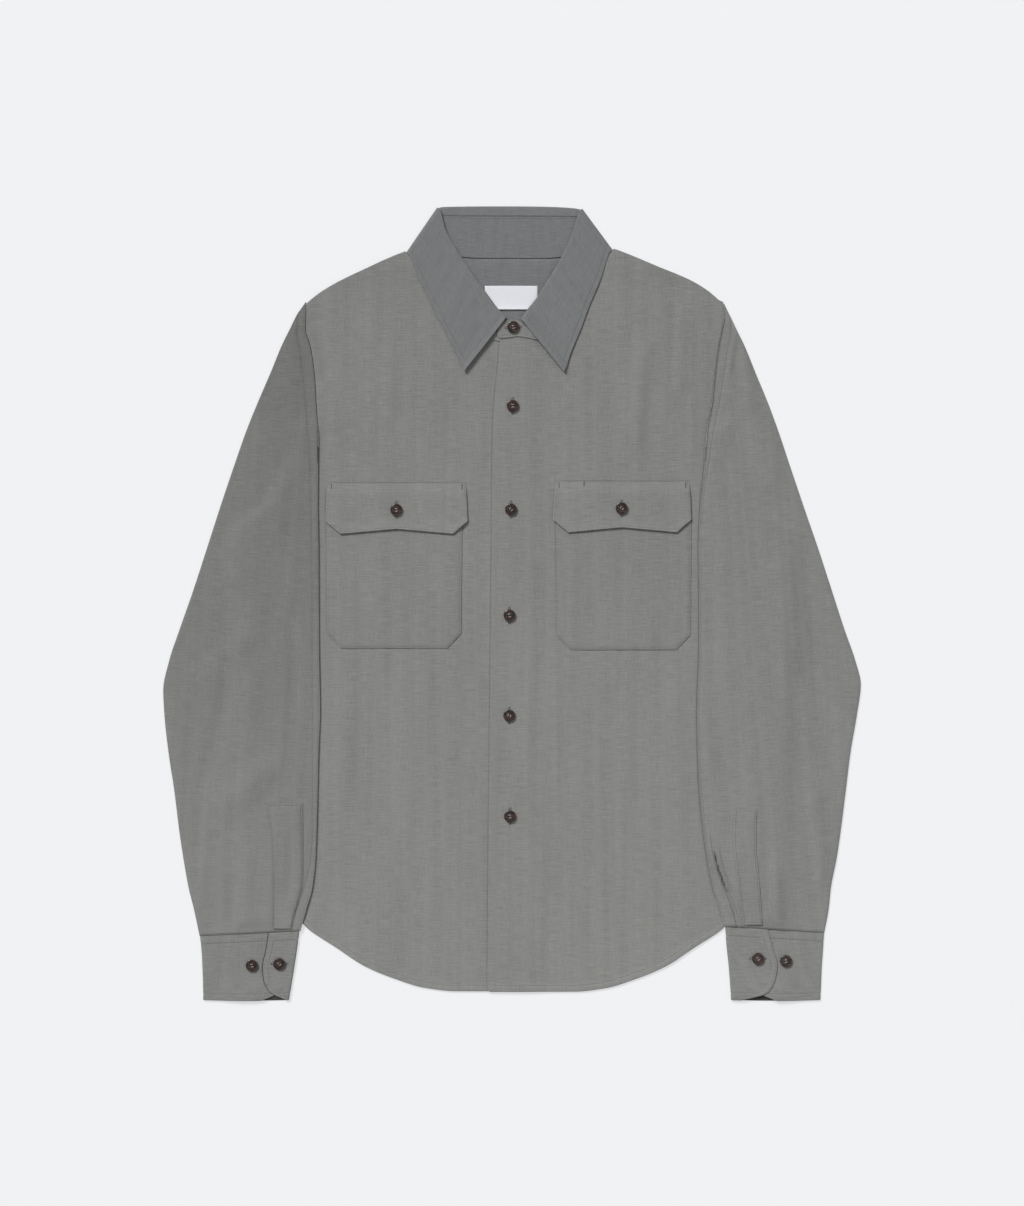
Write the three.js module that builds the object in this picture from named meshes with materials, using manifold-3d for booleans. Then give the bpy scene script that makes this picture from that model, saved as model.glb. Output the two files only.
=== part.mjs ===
// A long-sleeved shirt with two flap pockets, buttoned up and laid flat on its back.
// Millimetres. X runs across the shirt, positive towards the wearer's left sleeve.
// Y runs from hem to neck, Z up from the surface it lies on. Left and right are the wearer's.
import * as THREE from "three";
import { mergeVertices } from "three/addons/utils/BufferGeometryUtils.js";
import Module from "manifold-3d";

const wasm = await Module();
wasm.setup();

// Cloth and how the layers lie on each other
const CLOTH = 1.0;
const GAP = 0.3;
const PLY = CLOTH + GAP;
const BACK_LOW = 0;
const FRONT_LOW = PLY;
const SLEEVE_REST = 2 * PLY;

// Body of the shirt
const YOKE_SEAM_Y = 258;
const UNDERARM_Y = 155;
const HEM_CORNER_Y = -301.5;
const HEM_MIDDLE_X = 3;
const BODY_HALF = 250;
const BACK_HEM_RISE = 2;
const UNDER_FRONT_HEM_RISE = 0.5;
const FRONT_HEM_Y = -387;
const UNDER_FRONT_EDGE_X = 16;
const OVERLAP_START = 18;
const OVERLAP_RAMP = 16;
const NECK_SEAM_Y = 345;
const NECK_SEAM_HALF = 50;

// Buttons
const BUTTON_D = 12;
const BUTTON_THICK = 2.6;
const BUTTON_RIM = 1.4;
const BUTTON_CHAMFER = 0.7;
const BUTTON_SIDES = 16;

// Pockets and their flaps
const POCKET_CHAMFER = 15;
const FLAP_DEPTH = 51;
const FLAP_SLANT = 13;
const FLAP_NOTCH = 5;
const FLAP_FLARE = 2.5;
const FLAP_SEAM = 3;
const FLAP_RAMP = 8;
const POCKET_TAPER = 1;
const POCKET_TOP_BELOW_FLAP = 13;

// Cuffs
const CUFF_WALL = 1.2;
const CUFF_PLY = CUFF_WALL + GAP;
const CUFF_BOTTOM = -397.5;
const CUFF_BOW = 0.8;
const CUFF_HALF = 45;
const CUFF_ROWS = 10;

// Collar: the leaf's turned-in part, the stand beside it, and the height of the roll. The side
// folds join what lies under the neck to what lies on top of it.
const TURN_IN_TOP = 2 * PLY + CLOTH;
const TURN_IN_LOW = 2 * PLY;
const LAP_END_LOW = 3 * PLY;
const LEAF_TURN_IN = 9.6;
const STAND_TOP = 10.3;
const ROLL_HEIGHT = 6.2;
const EDGE_HEIGHT = 5.2;

// The shoulder line, by distance from the middle of the shirt
const SHOULDER = [
  { reach: 103, right: 354, left: 355 },
  { reach: 122, right: 346.5, left: 347.5 },
  { reach: 148, right: 334.5, left: 336.5 },
  { reach: 167, right: 325.5, left: 329 },
  { reach: 182, right: 317.5, left: 322 },
  { reach: 197, right: 307.5, left: 312.5 },
  { reach: 209, right: 297, left: 302 },
];

// The armhole and side seam where the sleeves hide them, the same on both sides
const HIDDEN_SIDE = [
  { y: 155, reach: 195 },
  { y: 128, reach: 207 },
  { y: 98, reach: 226 },
  { y: 68, reach: 258 },
  { y: 40, reach: 262 },
  { y: -100, reach: 256 },
  { y: -250, reach: 252 },
  { y: -302, reach: 250 },
];

// The shirt-tail hem, by distance from the middle of the shirt
const HEM = [
  { reach: 0, y: -388.5 },
  { reach: 60, y: -388.3 },
  { reach: 90, y: -385 },
  { reach: 120, y: -376 },
  { reach: 150, y: -363.5 },
  { reach: 180, y: -344 },
  { reach: 206, y: -327 },
  { reach: 214, y: -319.5 },
  { reach: 250, y: -301.5 },
];

// The visible edge of the lapping front
const FRONT_EDGE = [
  { y: 262, x: -12 },
  { y: 224, x: -15.2 },
  { y: 201, x: -18 },
  { y: 155, x: -19.4 },
  { y: -10, x: -20.8 },
  { y: -136, x: -22.3 },
  { y: -276, x: -23.7 },
  { y: -400, x: -24.8 },
];

// Sleeves: outer fold, inner fold of the upper layer, and edge of the felled seam beside it.
// Above the underarm the last two are the armhole seam. Distances from the middle of the shirt.
const SLEEVE_RIGHT = [
  { y: 297, outer: 209.5, fold: 205.6, edge: 205.9 },
  { y: 290, outer: 214.5, fold: 205.4, edge: 205.7 },
  { y: 274, outer: 222.5, fold: 205.7, edge: 206 },
  { y: 258, outer: 230.5, fold: 201.1, edge: 201.4 },
  { y: 230, outer: 242, fold: 196.9, edge: 197.2 },
  { y: 201, outer: 254.5, fold: 195.1, edge: 195.4 },
  { y: 171, outer: 266.5, fold: 194, edge: 193.7 },
  { y: 141, outer: 277, fold: 200.6, edge: 193.8 },
  { y: 98, outer: 291.5, fold: 199.7, edge: 194 },
  { y: 53, outer: 306, fold: 199.1, edge: 193.2 },
  { y: 13, outer: 319, fold: 198.8, edge: 193 },
  { y: -27, outer: 333, fold: 198.6, edge: 192.8 },
  { y: -57, outer: 343, fold: 198.5, edge: 192.6 },
  { y: -87, outer: 349, fold: 198.4, edge: 192 },
  { y: -109, outer: 348, fold: 198.3, edge: 191.7 },
  { y: -147, outer: 344, fold: 198.3, edge: 193.3 },
  { y: -187, outer: 338, fold: 198.2, edge: 194.2 },
  { y: -227, outer: 333, fold: 198.2, edge: 195.2 },
  { y: -254, outer: 329, fold: 200, edge: 196.2 },
  { y: -285, outer: 323.5, fold: 207, edge: 199.6 },
  { y: -305, outer: 318.5, fold: 214, edge: 205.2 },
  { y: -332, outer: 312.6, fold: 219, edge: 211.5 },
];
const SLEEVE_LEFT = [
  { y: 294, outer: 214.5, fold: 211.7, edge: 212 },
  { y: 287, outer: 218.5, fold: 212, edge: 212.3 },
  { y: 274, outer: 224.5, fold: 209.7, edge: 210 },
  { y: 258, outer: 232.5, fold: 206.5, edge: 206.8 },
  { y: 230, outer: 244, fold: 202.7, edge: 203 },
  { y: 201, outer: 256, fold: 199.9, edge: 200.2 },
  { y: 171, outer: 267, fold: 195, edge: 194.7 },
  { y: 141, outer: 277, fold: 195.5, edge: 193 },
  { y: 98, outer: 291.5, fold: 191.5, edge: 188.7 },
  { y: 53, outer: 307, fold: 189.6, edge: 186.8 },
  { y: 13, outer: 320, fold: 190.3, edge: 187.5 },
  { y: -27, outer: 333, fold: 190.4, edge: 187.6 },
  { y: -57, outer: 343.5, fold: 190, edge: 187.2 },
  { y: -81, outer: 349, fold: 189, edge: 186.2 },
  { y: -109, outer: 345.5, fold: 188.2, edge: 185.4 },
  { y: -147, outer: 339, fold: 188.8, edge: 186 },
  { y: -187, outer: 334, fold: 190.6, edge: 187.8 },
  { y: -227, outer: 329, fold: 194.3, edge: 191.5 },
  { y: -254, outer: 325, fold: 198.1, edge: 195.3 },
  { y: -285, outer: 319, fold: 203.8, edge: 201 },
  { y: -305, outer: 317, fold: 209.8, edge: 207 },
  { y: -329, outer: 312.4, fold: 214.6, edge: 211.8 },
];

// Cuffs from top to bottom: outer fold, inner fold, and the edges of the lapping and the lower end
const CUFF_RIGHT = [
  { down: 0, outer: 312.2, inner: 212.6, lap: 244, under: 226 },
  { down: 0.25, outer: 310.6, inner: 214.8, lap: 246.6, under: 228 },
  { down: 0.5, outer: 309.8, inner: 217.4, lap: 250, under: 229 },
  { down: 0.7, outer: 309.3, inner: 219.6, lap: 248.6, under: 231 },
  { down: 0.85, outer: 309.1, inner: 221.3, lap: 243.6, under: 234 },
  { down: 0.94, outer: 309, inner: 222.3, lap: 237, under: 240 },
  { down: 1, outer: 309, inner: 223.1, lap: 228, under: 249 },
];
const CUFF_LEFT = [
  { down: 0, outer: 312.3, inner: 213.2, lap: 255.6, under: 226 },
  { down: 0.25, outer: 311.2, inner: 214.4, lap: 260.5, under: 228 },
  { down: 0.5, outer: 310, inner: 216.4, lap: 265.4, under: 230 },
  { down: 0.7, outer: 309.4, inner: 217.6, lap: 262.5, under: 232 },
  { down: 0.85, outer: 309, inner: 218.4, lap: 255, under: 236 },
  { down: 0.94, outer: 308.8, inner: 218.8, lap: 245, under: 242 },
  { down: 1, outer: 308.6, inner: 219, lap: 229, under: 250 },
];

// The cuffs' upper edges, at the outer and the inner fold, and how far they rise between them
const CUFF_TOPS = {
  right: { outerY: -332.9, innerY: -327.8, rise: 5.2 },
  left: { outerY: -329.9, innerY: -322.9, rise: 7 },
};

// The collar leaf, from the wearer's right point round the neck to the left point. Each row runs
// from the roll line to the outer edge. turn is -90 under the neck, 90 on top, between them the
// side folds. neck is how far down the row the stand's lower seam lies.
const COLLAR = [
  { rollX: -5.5, rollY: 286, edgeX: -48.2, edgeY: 231.5, turn: 90, neck: 27 },
  { rollX: -14, rollY: 295, edgeX: -50.5, edgeY: 239, turn: 90, neck: 33 },
  { rollX: -27, rollY: 312.5, edgeX: -57, edgeY: 252, turn: 90, neck: 37 },
  { rollX: -38.5, rollY: 328.5, edgeX: -67, edgeY: 272, turn: 90, neck: 40 },
  { rollX: -52, rollY: 349, edgeX: -79, edgeY: 296.5, turn: 90, neck: 43 },
  { rollX: -66, rollY: 374, edgeX: -91.5, edgeY: 322, turn: 90, neck: 45 },
  { rollX: -71.5, rollY: 393.5, edgeX: -103, edgeY: 348.5, turn: 90, neck: 45.5 },
  { rollX: -72.2, rollY: 394.6, edgeX: -103.8, edgeY: 349.4, turn: 50, neck: 46 },
  { rollX: -72.2, rollY: 394.8, edgeX: -103.8, edgeY: 349.6, turn: 0, neck: 46 },
  { rollX: -72.2, rollY: 395, edgeX: -103.6, edgeY: 349.8, turn: -50, neck: 46 },
  { rollX: -71, rollY: 396.6, edgeX: -102, edgeY: 350, turn: -90, neck: 46 },
  { rollX: -50, rollY: 397.2, edgeX: -66, edgeY: 344, turn: -90, neck: 49 },
  { rollX: -25, rollY: 397.4, edgeX: -31, edgeY: 341.5, turn: -90, neck: 51.6 },
  { rollX: 0, rollY: 397.4, edgeX: 0, edgeY: 341, turn: -90, neck: 52 },
  { rollX: 25, rollY: 397.2, edgeX: 31, edgeY: 341.5, turn: -90, neck: 51.6 },
  { rollX: 48, rollY: 396.5, edgeX: 66, edgeY: 345, turn: -90, neck: 49 },
  { rollX: 66.9, rollY: 394.6, edgeX: 97.4, edgeY: 353.2, turn: -90, neck: 46 },
  { rollX: 67.7, rollY: 393.6, edgeX: 98.4, edgeY: 352.6, turn: -50, neck: 46 },
  { rollX: 67.7, rollY: 393.4, edgeX: 98.6, edgeY: 352.4, turn: 0, neck: 46 },
  { rollX: 67.7, rollY: 393.2, edgeX: 98.6, edgeY: 352.2, turn: 50, neck: 46 },
  { rollX: 67, rollY: 392, edgeX: 97.8, edgeY: 351.2, turn: 90, neck: 45.5 },
  { rollX: 60, rollY: 370, edgeX: 88.5, edgeY: 324, turn: 90, neck: 45 },
  { rollX: 47.5, rollY: 343, edgeX: 77.5, edgeY: 297.5, turn: 90, neck: 43 },
  { rollX: 34.5, rollY: 321.5, edgeX: 68, edgeY: 272, turn: 90, neck: 40 },
  { rollX: 24.5, rollY: 305.5, edgeX: 59.5, edgeY: 252, turn: 90, neck: 37 },
  { rollX: 15, rollY: 293.5, edgeX: 54.5, edgeY: 237, turn: 90, neck: 33 },
  { rollX: 8.8, rollY: 284.5, edgeX: 52.4, edgeY: 231, turn: 90, neck: 27 },
];

// The ends of the collar stand, past the leaf: the lower one and the lapping one over it
const STAND_UNDER_END = [
  { topX: -7, topY: 281, bottomX: -11, bottomY: 262, low: TURN_IN_LOW },
  { topX: 0, topY: 284, bottomX: 0, bottomY: 264, low: TURN_IN_LOW },
  { topX: 9, topY: 282, bottomX: 9, bottomY: 265, low: TURN_IN_LOW },
];
const STAND_LAP_END = [
  { topX: 9.5, topY: 280.5, bottomX: 16, bottomY: 265.4, low: LAP_END_LOW },
  { topX: 3, topY: 284, bottomX: 6, bottomY: 266.8, low: LAP_END_LOW },
  { topX: -5.5, topY: 283.4, bottomX: -5, bottomY: 265.4, low: LAP_END_LOW },
  { topX: -10.5, topY: 281, bottomX: -11, bottomY: 264.8, low: LAP_END_LOW },
  { topX: -13.4, topY: 277.4, bottomX: -13.8, bottomY: 266.4, low: LAP_END_LOW },
  { topX: -14.6, topY: 273.6, bottomX: -14.7, bottomY: 269.4, low: LAP_END_LOW },
];

// Soft folds in the fronts: the line they run along, half their width, and their height
const FRONT_FOLDS = [
  { fromX: -121, fromY: 172, toX: -124, toY: -285, half: 18, high: 1.8 },
  { fromX: 104, fromY: 60, toX: 108, toY: -365, half: 18, high: 1.8 },
  { fromX: 118, fromY: 275, toX: 112, toY: 150, half: 20, high: 1.6 },
  { fromX: -150, fromY: 290, toX: -100, toY: 200, half: 20, high: 1.4 },
];
// Soft folds in the sleeves, in the same terms
const SLEEVE_FOLDS = [
  { fromX: 219, fromY: 280, toX: 250, toY: 140, half: 20, high: 2.4 },
  { fromX: 262, fromY: 60, toX: 290, toY: -70, half: 26, high: 2.2 },
  { fromX: 296, fromY: -175, toX: 314, toY: -300, half: 17, high: 2.6 },
  { fromX: -250, fromY: 190, toX: -225, toY: 60, half: 22, high: 2.2 },
  { fromX: -255, fromY: -20, toX: -315, toY: -90, half: 24, high: 2.4 },
  { fromX: -225, fromY: -150, toX: -300, toY: -215, half: 22, high: 2.2 },
];

const POCKETS = [
  {
    side: "right",
    flap: { left: -184.5, right: -46, top: 120.5, buttonX: -115.5 },
    pocket: { left: -186, right: -49.6, bottom: -45 },
  },
  {
    side: "left",
    flap: { left: 43, right: 177.5, top: 122, buttonX: 109.5 },
    pocket: { left: 43.4, right: 179.6, bottom: -46.5 },
  },
];

const FRONT_BUTTONS = [
  { x: 0.7, y: 197.5 },
  { x: -1, y: 94 },
  { x: -2.5, y: -12 },
  { x: -2.7, y: -112 },
  { x: -2, y: -212.7 },
];
const NECK_BUTTON = { x: 1.3, y: 276.2 };
const FLAP_BUTTON_DROP = 27;
const CUFF_BUTTONS = [
  { name: "button_cuff_right_1", x: -260.1, y: -361.9, on: "under" },
  { name: "button_cuff_right_2", x: -232.6, y: -360.1, on: "lap" },
  { name: "button_cuff_left_1", x: 245.8, y: -354.9, on: "lap" },
  { name: "button_cuff_left_2", x: 273.8, y: -357.4, on: "under" },
];

const LABEL = { left: -27.3, right: 25.5, top: 317.8, bottom: 294.1 };

// Sleeve plackets: a strip that runs up from the cuff. Its right edge stays inside the fold.
const PLACKETS = [
  { side: "right", top: -199.5, bottom: -325, outer: 240.5, inner: 212 },
  { side: "left", top: -207, bottom: -320, outer: 247.5, inner: 221 },
];
const PLACKET_ROWS = 6;
const PLACKET_COLUMNS = 3;

const NAMES = { "-1": "right", 1: "left" };
const lerp = (a, b, t) => a + (b - a) * t;
const clamp = THREE.MathUtils.clamp;
const soft = (t) => THREE.MathUtils.smoothstep(t, 0, 1);

// A table's column at a place, along a smooth curve through its rows. key is the column that the
// place is measured in, rising or falling all the way.
function along(rows, key, column, at) {
  const rising = rows[rows.length - 1][key] > rows[0][key];
  let i = rows.findIndex((row) => (rising ? row[key] > at : row[key] < at)) - 1;
  if (i < -1) i = rows.length - 2;
  i = clamp(i, 0, rows.length - 2);
  const [p, q] = [rows[i], rows[i + 1]];
  const span = q[key] - p[key];
  const slope = (a, b) => (b[column] - a[column]) / (b[key] - a[key]);
  const middle = slope(p, q);
  const before = i > 0 ? (slope(rows[i - 1], p) + middle) / 2 : middle;
  const after = i < rows.length - 2 ? (slope(q, rows[i + 2]) + middle) / 2 : middle;
  const t = clamp((at - p[key]) / span, 0, 1);
  const bend = (before - middle) * t * (1 - t) ** 2 - (after - middle) * t * t * (1 - t);
  return lerp(p[column], q[column], t) + bend * span;
}

// The height of soft folds at a point: a rounded ridge along each line, fading at its ends
function folds(table, x, y) {
  let height = 0;
  for (const f of table) {
    const run = new THREE.Vector2(f.toX - f.fromX, f.toY - f.fromY);
    const length = run.length();
    run.divideScalar(length);
    const [dx, dy] = [x - f.fromX, y - f.fromY];
    const t = (dx * run.x + dy * run.y) / length;
    const off = Math.abs(dx * run.y - dy * run.x) / f.half;
    if (t <= 0 || t >= 1 || off >= 1) continue;
    const ends = soft(Math.min(t, 1 - t) * 4);
    height += f.high * ends * (1 - soft(off));
  }
  return height;
}

// Where the shirt's edges lie: side is -1 on the wearer's right, 1 on the left
const sleeveTable = (side) => (side < 0 ? SLEEVE_RIGHT : SLEEVE_LEFT);
const sideX = (side, y) =>
  side *
  (y > UNDERARM_Y
    ? along(sleeveTable(side), "y", "edge", y) - GAP
    : along(HIDDEN_SIDE, "y", "reach", y));
const shoulderY = (side, x) =>
  along(SHOULDER, "reach", side < 0 ? "right" : "left", Math.abs(x)) - GAP;
const hemY = (x) => along(HEM, "reach", "y", Math.abs(x - HEM_MIDDLE_X));
const frontEdgeX = (y) => along(FRONT_EDGE, "y", "x", y);

// Evenly spaced values from a to b, both included
const spread = (a, b, count) =>
  Array.from({ length: count + 1 }, (_, i) => lerp(a, b, i / count));

// Heights: how far over the collar's fall the yoke is lifted
const YOKE_LIFT_FROM = 318;
const YOKE_LIFT_FULL = 338;
const yokeLow = (x, y) =>
  PLY * clamp((y - YOKE_LIFT_FROM) / (YOKE_LIFT_FULL - YOKE_LIFT_FROM), 0, 1);

// The fronts' lower face. The left one climbs over the right one at the buttons.
function frontLow(side, x, y) {
  const onto = clamp((OVERLAP_START + OVERLAP_RAMP - x) / OVERLAP_RAMP, 0, 1);
  const lap = side > 0 ? onto : 0;
  return FRONT_LOW + yokeLow(x, y) + lap * PLY + folds(FRONT_FOLDS, x, y);
}

// The sleeve's lower face: down on the floor, but over the body where its hidden side lies below
const SLEEVE_LEDGE = 12;
const SLEEVE_SLOPE = 20;
const UNDERARM_STRETCH = 0.8;
function sleeveLow(side, x, y) {
  const reach = Math.abs(x);
  const hidden = Math.abs(sideX(side, Math.min(y, UNDERARM_Y)));
  const across = reach - hidden - SLEEVE_LEDGE;
  const above = y - UNDERARM_Y - SLEEVE_LEDGE;
  const below = hemY(side * Math.min(reach, hidden)) - y - SLEEVE_LEDGE;
  const away = Math.max(across, above * UNDERARM_STRETCH, below);
  return SLEEVE_REST * clamp(1 - away / SLEEVE_SLOPE, 0, 1);
}

// The sleeve's upper face: two layers, with air between them and soft folds. The air gets less
// where the sleeve is narrow, towards its folds, and above the cuff.
const SLEEVE_AIR = 2.6;
const FULL_WIDTH = 90;
const CROWN_SHARE = 0.2;
const FLAT_END_Y = -330;
const FLAT_END_LENGTH = 60;
const FLAT_END_AIR = 0.25;
function sleeveTop(side, x, y) {
  const table = sleeveTable(side);
  const outer = along(table, "y", "outer", y);
  const fold = along(table, "y", "fold", y);
  const t = clamp((Math.abs(x) - fold) / (outer - fold), 0, 1);
  const width = clamp((outer - fold) / FULL_WIDTH, 0, 1);
  const crown = soft(clamp(Math.min(t, 1 - t) / CROWN_SHARE, 0, 1)) * width;
  const cuffEnd = lerp(FLAT_END_AIR, 1, soft((y - FLAT_END_Y) / FLAT_END_LENGTH));
  const air = (SLEEVE_AIR + folds(SLEEVE_FOLDS, x, y)) * crown * cuffEnd;
  return sleeveLow(side, x, y) + CLOTH + PLY + air;
}

// Solids
const solidOf = (geometry) => {
  const bare = new THREE.BufferGeometry();
  bare.setAttribute("position", geometry.getAttribute("position"));
  bare.setIndex(geometry.index);
  const merged = mergeVertices(bare, 1e-4);
  return new wasm.Manifold(
    new wasm.Mesh({
      numProp: 3,
      vertProperties: merged.attributes.position.array,
      triVerts: new Uint32Array(merged.index.array),
    }),
  );
};

const geometryOf = (solid) => {
  const mesh = solid.getMesh();
  const positions = [];
  for (let i = 0; i < mesh.numVert; i++) {
    positions.push(...mesh.vertProperties.subarray(i * mesh.numProp, i * mesh.numProp + 3));
  }
  const geometry = new THREE.BufferGeometry();
  geometry.setAttribute("position", new THREE.Float32BufferAttribute(positions, 3));
  geometry.setIndex(new THREE.BufferAttribute(mesh.triVerts, 1));
  geometry.computeVertexNormals();
  return geometry;
};

const PRISM_LOW = -20;
const PRISM_HIGH = 60;
function prism(outline) {
  const shape = new THREE.Shape(outline.map(([x, y]) => new THREE.Vector2(x, y)));
  const options = { depth: PRISM_HIGH - PRISM_LOW, bevelEnabled: false };
  return new THREE.ExtrudeGeometry(shape, options).translate(0, 0, PRISM_LOW);
}

// A closed wall over a grid of lines, with its lower face at low(x, y)
function wallOver(xs, ys, low, wall) {
  const positions = [];
  for (const lift of [0, wall]) {
    for (const y of ys) {
      for (const x of xs) positions.push(x, y, low(x, y) + lift);
    }
  }
  const [columns, rows] = [xs.length, ys.length];
  const layer = columns * rows;
  const index = [];
  const quad = (a, b, c, d) => index.push(a, b, c, a, c, d);
  for (let j = 0; j < rows - 1; j++) {
    for (let i = 0; i < columns - 1; i++) {
      const a = j * columns + i;
      quad(a + layer, a + 1 + layer, a + columns + 1 + layer, a + columns + layer);
      index.push(a, a + columns + 1, a + 1, a, a + columns, a + columns + 1);
    }
  }
  const rim = [];
  for (let i = 0; i < columns - 1; i++) rim.push(i);
  for (let j = 0; j < rows - 1; j++) rim.push(j * columns + columns - 1);
  for (let i = columns - 1; i > 0; i--) rim.push((rows - 1) * columns + i);
  for (let j = rows - 1; j > 0; j--) rim.push(j * columns);
  rim.forEach((a, k) => {
    const b = rim[(k + 1) % rim.length];
    quad(a, b, b + layer, a + layer);
  });
  const geometry = new THREE.BufferGeometry();
  geometry.setAttribute("position", new THREE.Float32BufferAttribute(positions, 3));
  geometry.setIndex(index);
  return geometry;
}

// A flat-cut piece: the wall over its grid, cut to its outline
const panel = (outline, xs, ys, low, wall = CLOTH) =>
  geometryOf(solidOf(wallOver(xs, ys, low, wall)).intersect(solidOf(prism(outline))));

// A solid through closed rings of points, all with the same count, closed by flat caps
function loft(rings) {
  const count = rings[0].length;
  const positions = rings.flat().flatMap((p) => [p.x, p.y, p.z]);
  const index = [];
  for (let r = 0; r < rings.length - 1; r++) {
    for (let i = 0; i < count; i++) {
      const [a, b] = [r * count + i, r * count + ((i + 1) % count)];
      index.push(a, b, b + count, a, b + count, a + count);
    }
  }
  for (const [ring, start, flip] of [
    [rings[0], 0, false],
    [rings[rings.length - 1], (rings.length - 1) * count, true],
  ]) {
    const far = ring.reduce((m, p) => (p.distanceTo(ring[0]) > m.distanceTo(ring[0]) ? p : m));
    const run = new THREE.Vector2(far.x - ring[0].x, far.y - ring[0].y).normalize();
    const flat = ring.map((p) => new THREE.Vector2(p.x * run.x + p.y * run.y, p.z));
    const turned = THREE.ShapeUtils.isClockWise(flat);
    const order = flat.map((_, i) => (turned ? count - 1 - i : i));
    for (const face of THREE.ShapeUtils.triangulateShape(order.map((i) => flat[i]), [])) {
      const [a, b, c] = face.map((k) => start + order[k]);
      index.push(...(flip === turned ? [a, c, b] : [a, b, c]));
    }
  }
  const geometry = new THREE.BufferGeometry();
  geometry.setAttribute("position", new THREE.Float32BufferAttribute(positions, 3));
  geometry.setIndex(index);
  return facingOut(geometry);
}

// Turns a closed geometry's faces round when they point inwards
function facingOut(geometry) {
  const p = geometry.attributes.position;
  const index = geometry.index.array;
  const [a, b, c] = [new THREE.Vector3(), new THREE.Vector3(), new THREE.Vector3()];
  let volume = 0;
  for (let i = 0; i < index.length; i += 3) {
    a.fromBufferAttribute(p, index[i]);
    b.fromBufferAttribute(p, index[i + 1]);
    c.fromBufferAttribute(p, index[i + 2]);
    volume += a.dot(b.cross(c));
  }
  if (volume < 0) {
    for (let i = 0; i < index.length; i += 3) {
      [index[i + 1], index[i + 2]] = [index[i + 2], index[i + 1]];
    }
  }
  geometry.computeVertexNormals();
  return geometry;
}

// Outlines. The armhole seam starts a little below the sleeve's first section.
const HEM_STEPS = 40;
const SIDE_STEPS = { armhole: 9, underarm: 6, side: 4 };
const SIDE_BREAK_HALF = 4;
const UNDERARM_END_Y = 40;
const SIDE_START_Y = 0;
const SIDE_END_ABOVE_HEM = 8;
const ARMHOLE_START = 5;
const armholeTop = (side) => sleeveTable(side)[0].y - ARMHOLE_START;

// The hem from one x to another, lifted by rise
const hemPoints = (from, to, rise) =>
  spread(from, to, HEM_STEPS).map((x) => [x, hemY(x) + rise]);

// One side of the body from the armhole seam at top down to the hem's corner
function sidePoints(side, top) {
  return [
    ...spread(top, UNDERARM_Y + SIDE_BREAK_HALF, SIDE_STEPS.armhole),
    ...spread(UNDERARM_Y - SIDE_BREAK_HALF, UNDERARM_END_Y, SIDE_STEPS.underarm),
    ...spread(SIDE_START_Y, HEM_CORNER_Y + SIDE_END_ABOVE_HEM, SIDE_STEPS.side),
  ].map((y) => [sideX(side, y), y]);
}

function backOutline() {
  const right = sidePoints(-1, YOKE_SEAM_Y - GAP);
  const left = sidePoints(1, YOKE_SEAM_Y - GAP).reverse();
  return [...right, ...hemPoints(-BODY_HALF, BODY_HALF, BACK_HEM_RISE), ...left];
}

// The shoulder from the neckline, which ends inside the collar's side fold, out to the sleeve
const NECK_INSET = 0.4;
const SHOULDER_DIP = { reach: 3, drop: 1 };
const SHOULDER_START = 8;
const SHOULDER_END = 1.3;
const SHOULDER_STEPS = 8;
const YOKE_ARMHOLE_STEPS = 3;
function shoulderPoints(side) {
  const row = COLLAR.find(({ turn, rollX }) => turn === 0 && rollX * side > 0);
  const length = Math.hypot(row.edgeX - row.rollX, row.edgeY - row.rollY);
  const inFold = [row.neck + 2 * GAP, length + 3 * GAP].map((distance) => onRow(row, distance));
  const corner = Math.abs(inFold[1].x);
  return [
    ...inFold.map(({ x, y }) => [x - side * NECK_INSET, y - NECK_INSET]),
    [side * (corner + SHOULDER_DIP.reach), inFold[1].y - SHOULDER_DIP.drop],
    ...spread(corner + SHOULDER_START, sleeveTable(side)[0].edge - SHOULDER_END, SHOULDER_STEPS).map(
      (reach) => [side * reach, shoulderY(side, reach)],
    ),
  ];
}

function yokeOutline() {
  const armhole = (side) =>
    spread(armholeTop(side), YOKE_SEAM_Y, YOKE_ARMHOLE_STEPS).map((y) => [sideX(side, y), y]);
  return [
    [-NECK_SEAM_HALF, NECK_SEAM_Y - GAP],
    ...shoulderPoints(-1),
    ...armhole(-1),
    ...armhole(1).reverse(),
    ...shoulderPoints(1).reverse(),
    [NECK_SEAM_HALF, NECK_SEAM_Y - GAP],
  ];
}

// The neckline of the fronts, under the collar: a gap below the stand's lower seam. It leaves
// out the collar's two end rows.
const neckline = (side) =>
  COLLAR.slice(1, -1)
    .filter((row) => row.turn === 90 && row.rollX * side > 0)
    .map((row) => {
      const at = onRow(row, row.neck + GAP * 2);
      return [at.x, at.y];
    })
    .sort((a, b) => b[1] - a[1]);

// The point on a collar row at a distance from its roll line
function onRow(row, distance) {
  const run = new THREE.Vector2(row.edgeX - row.rollX, row.edgeY - row.rollY).normalize();
  return new THREE.Vector2(row.rollX, row.rollY).addScaledVector(run, distance);
}

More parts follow.
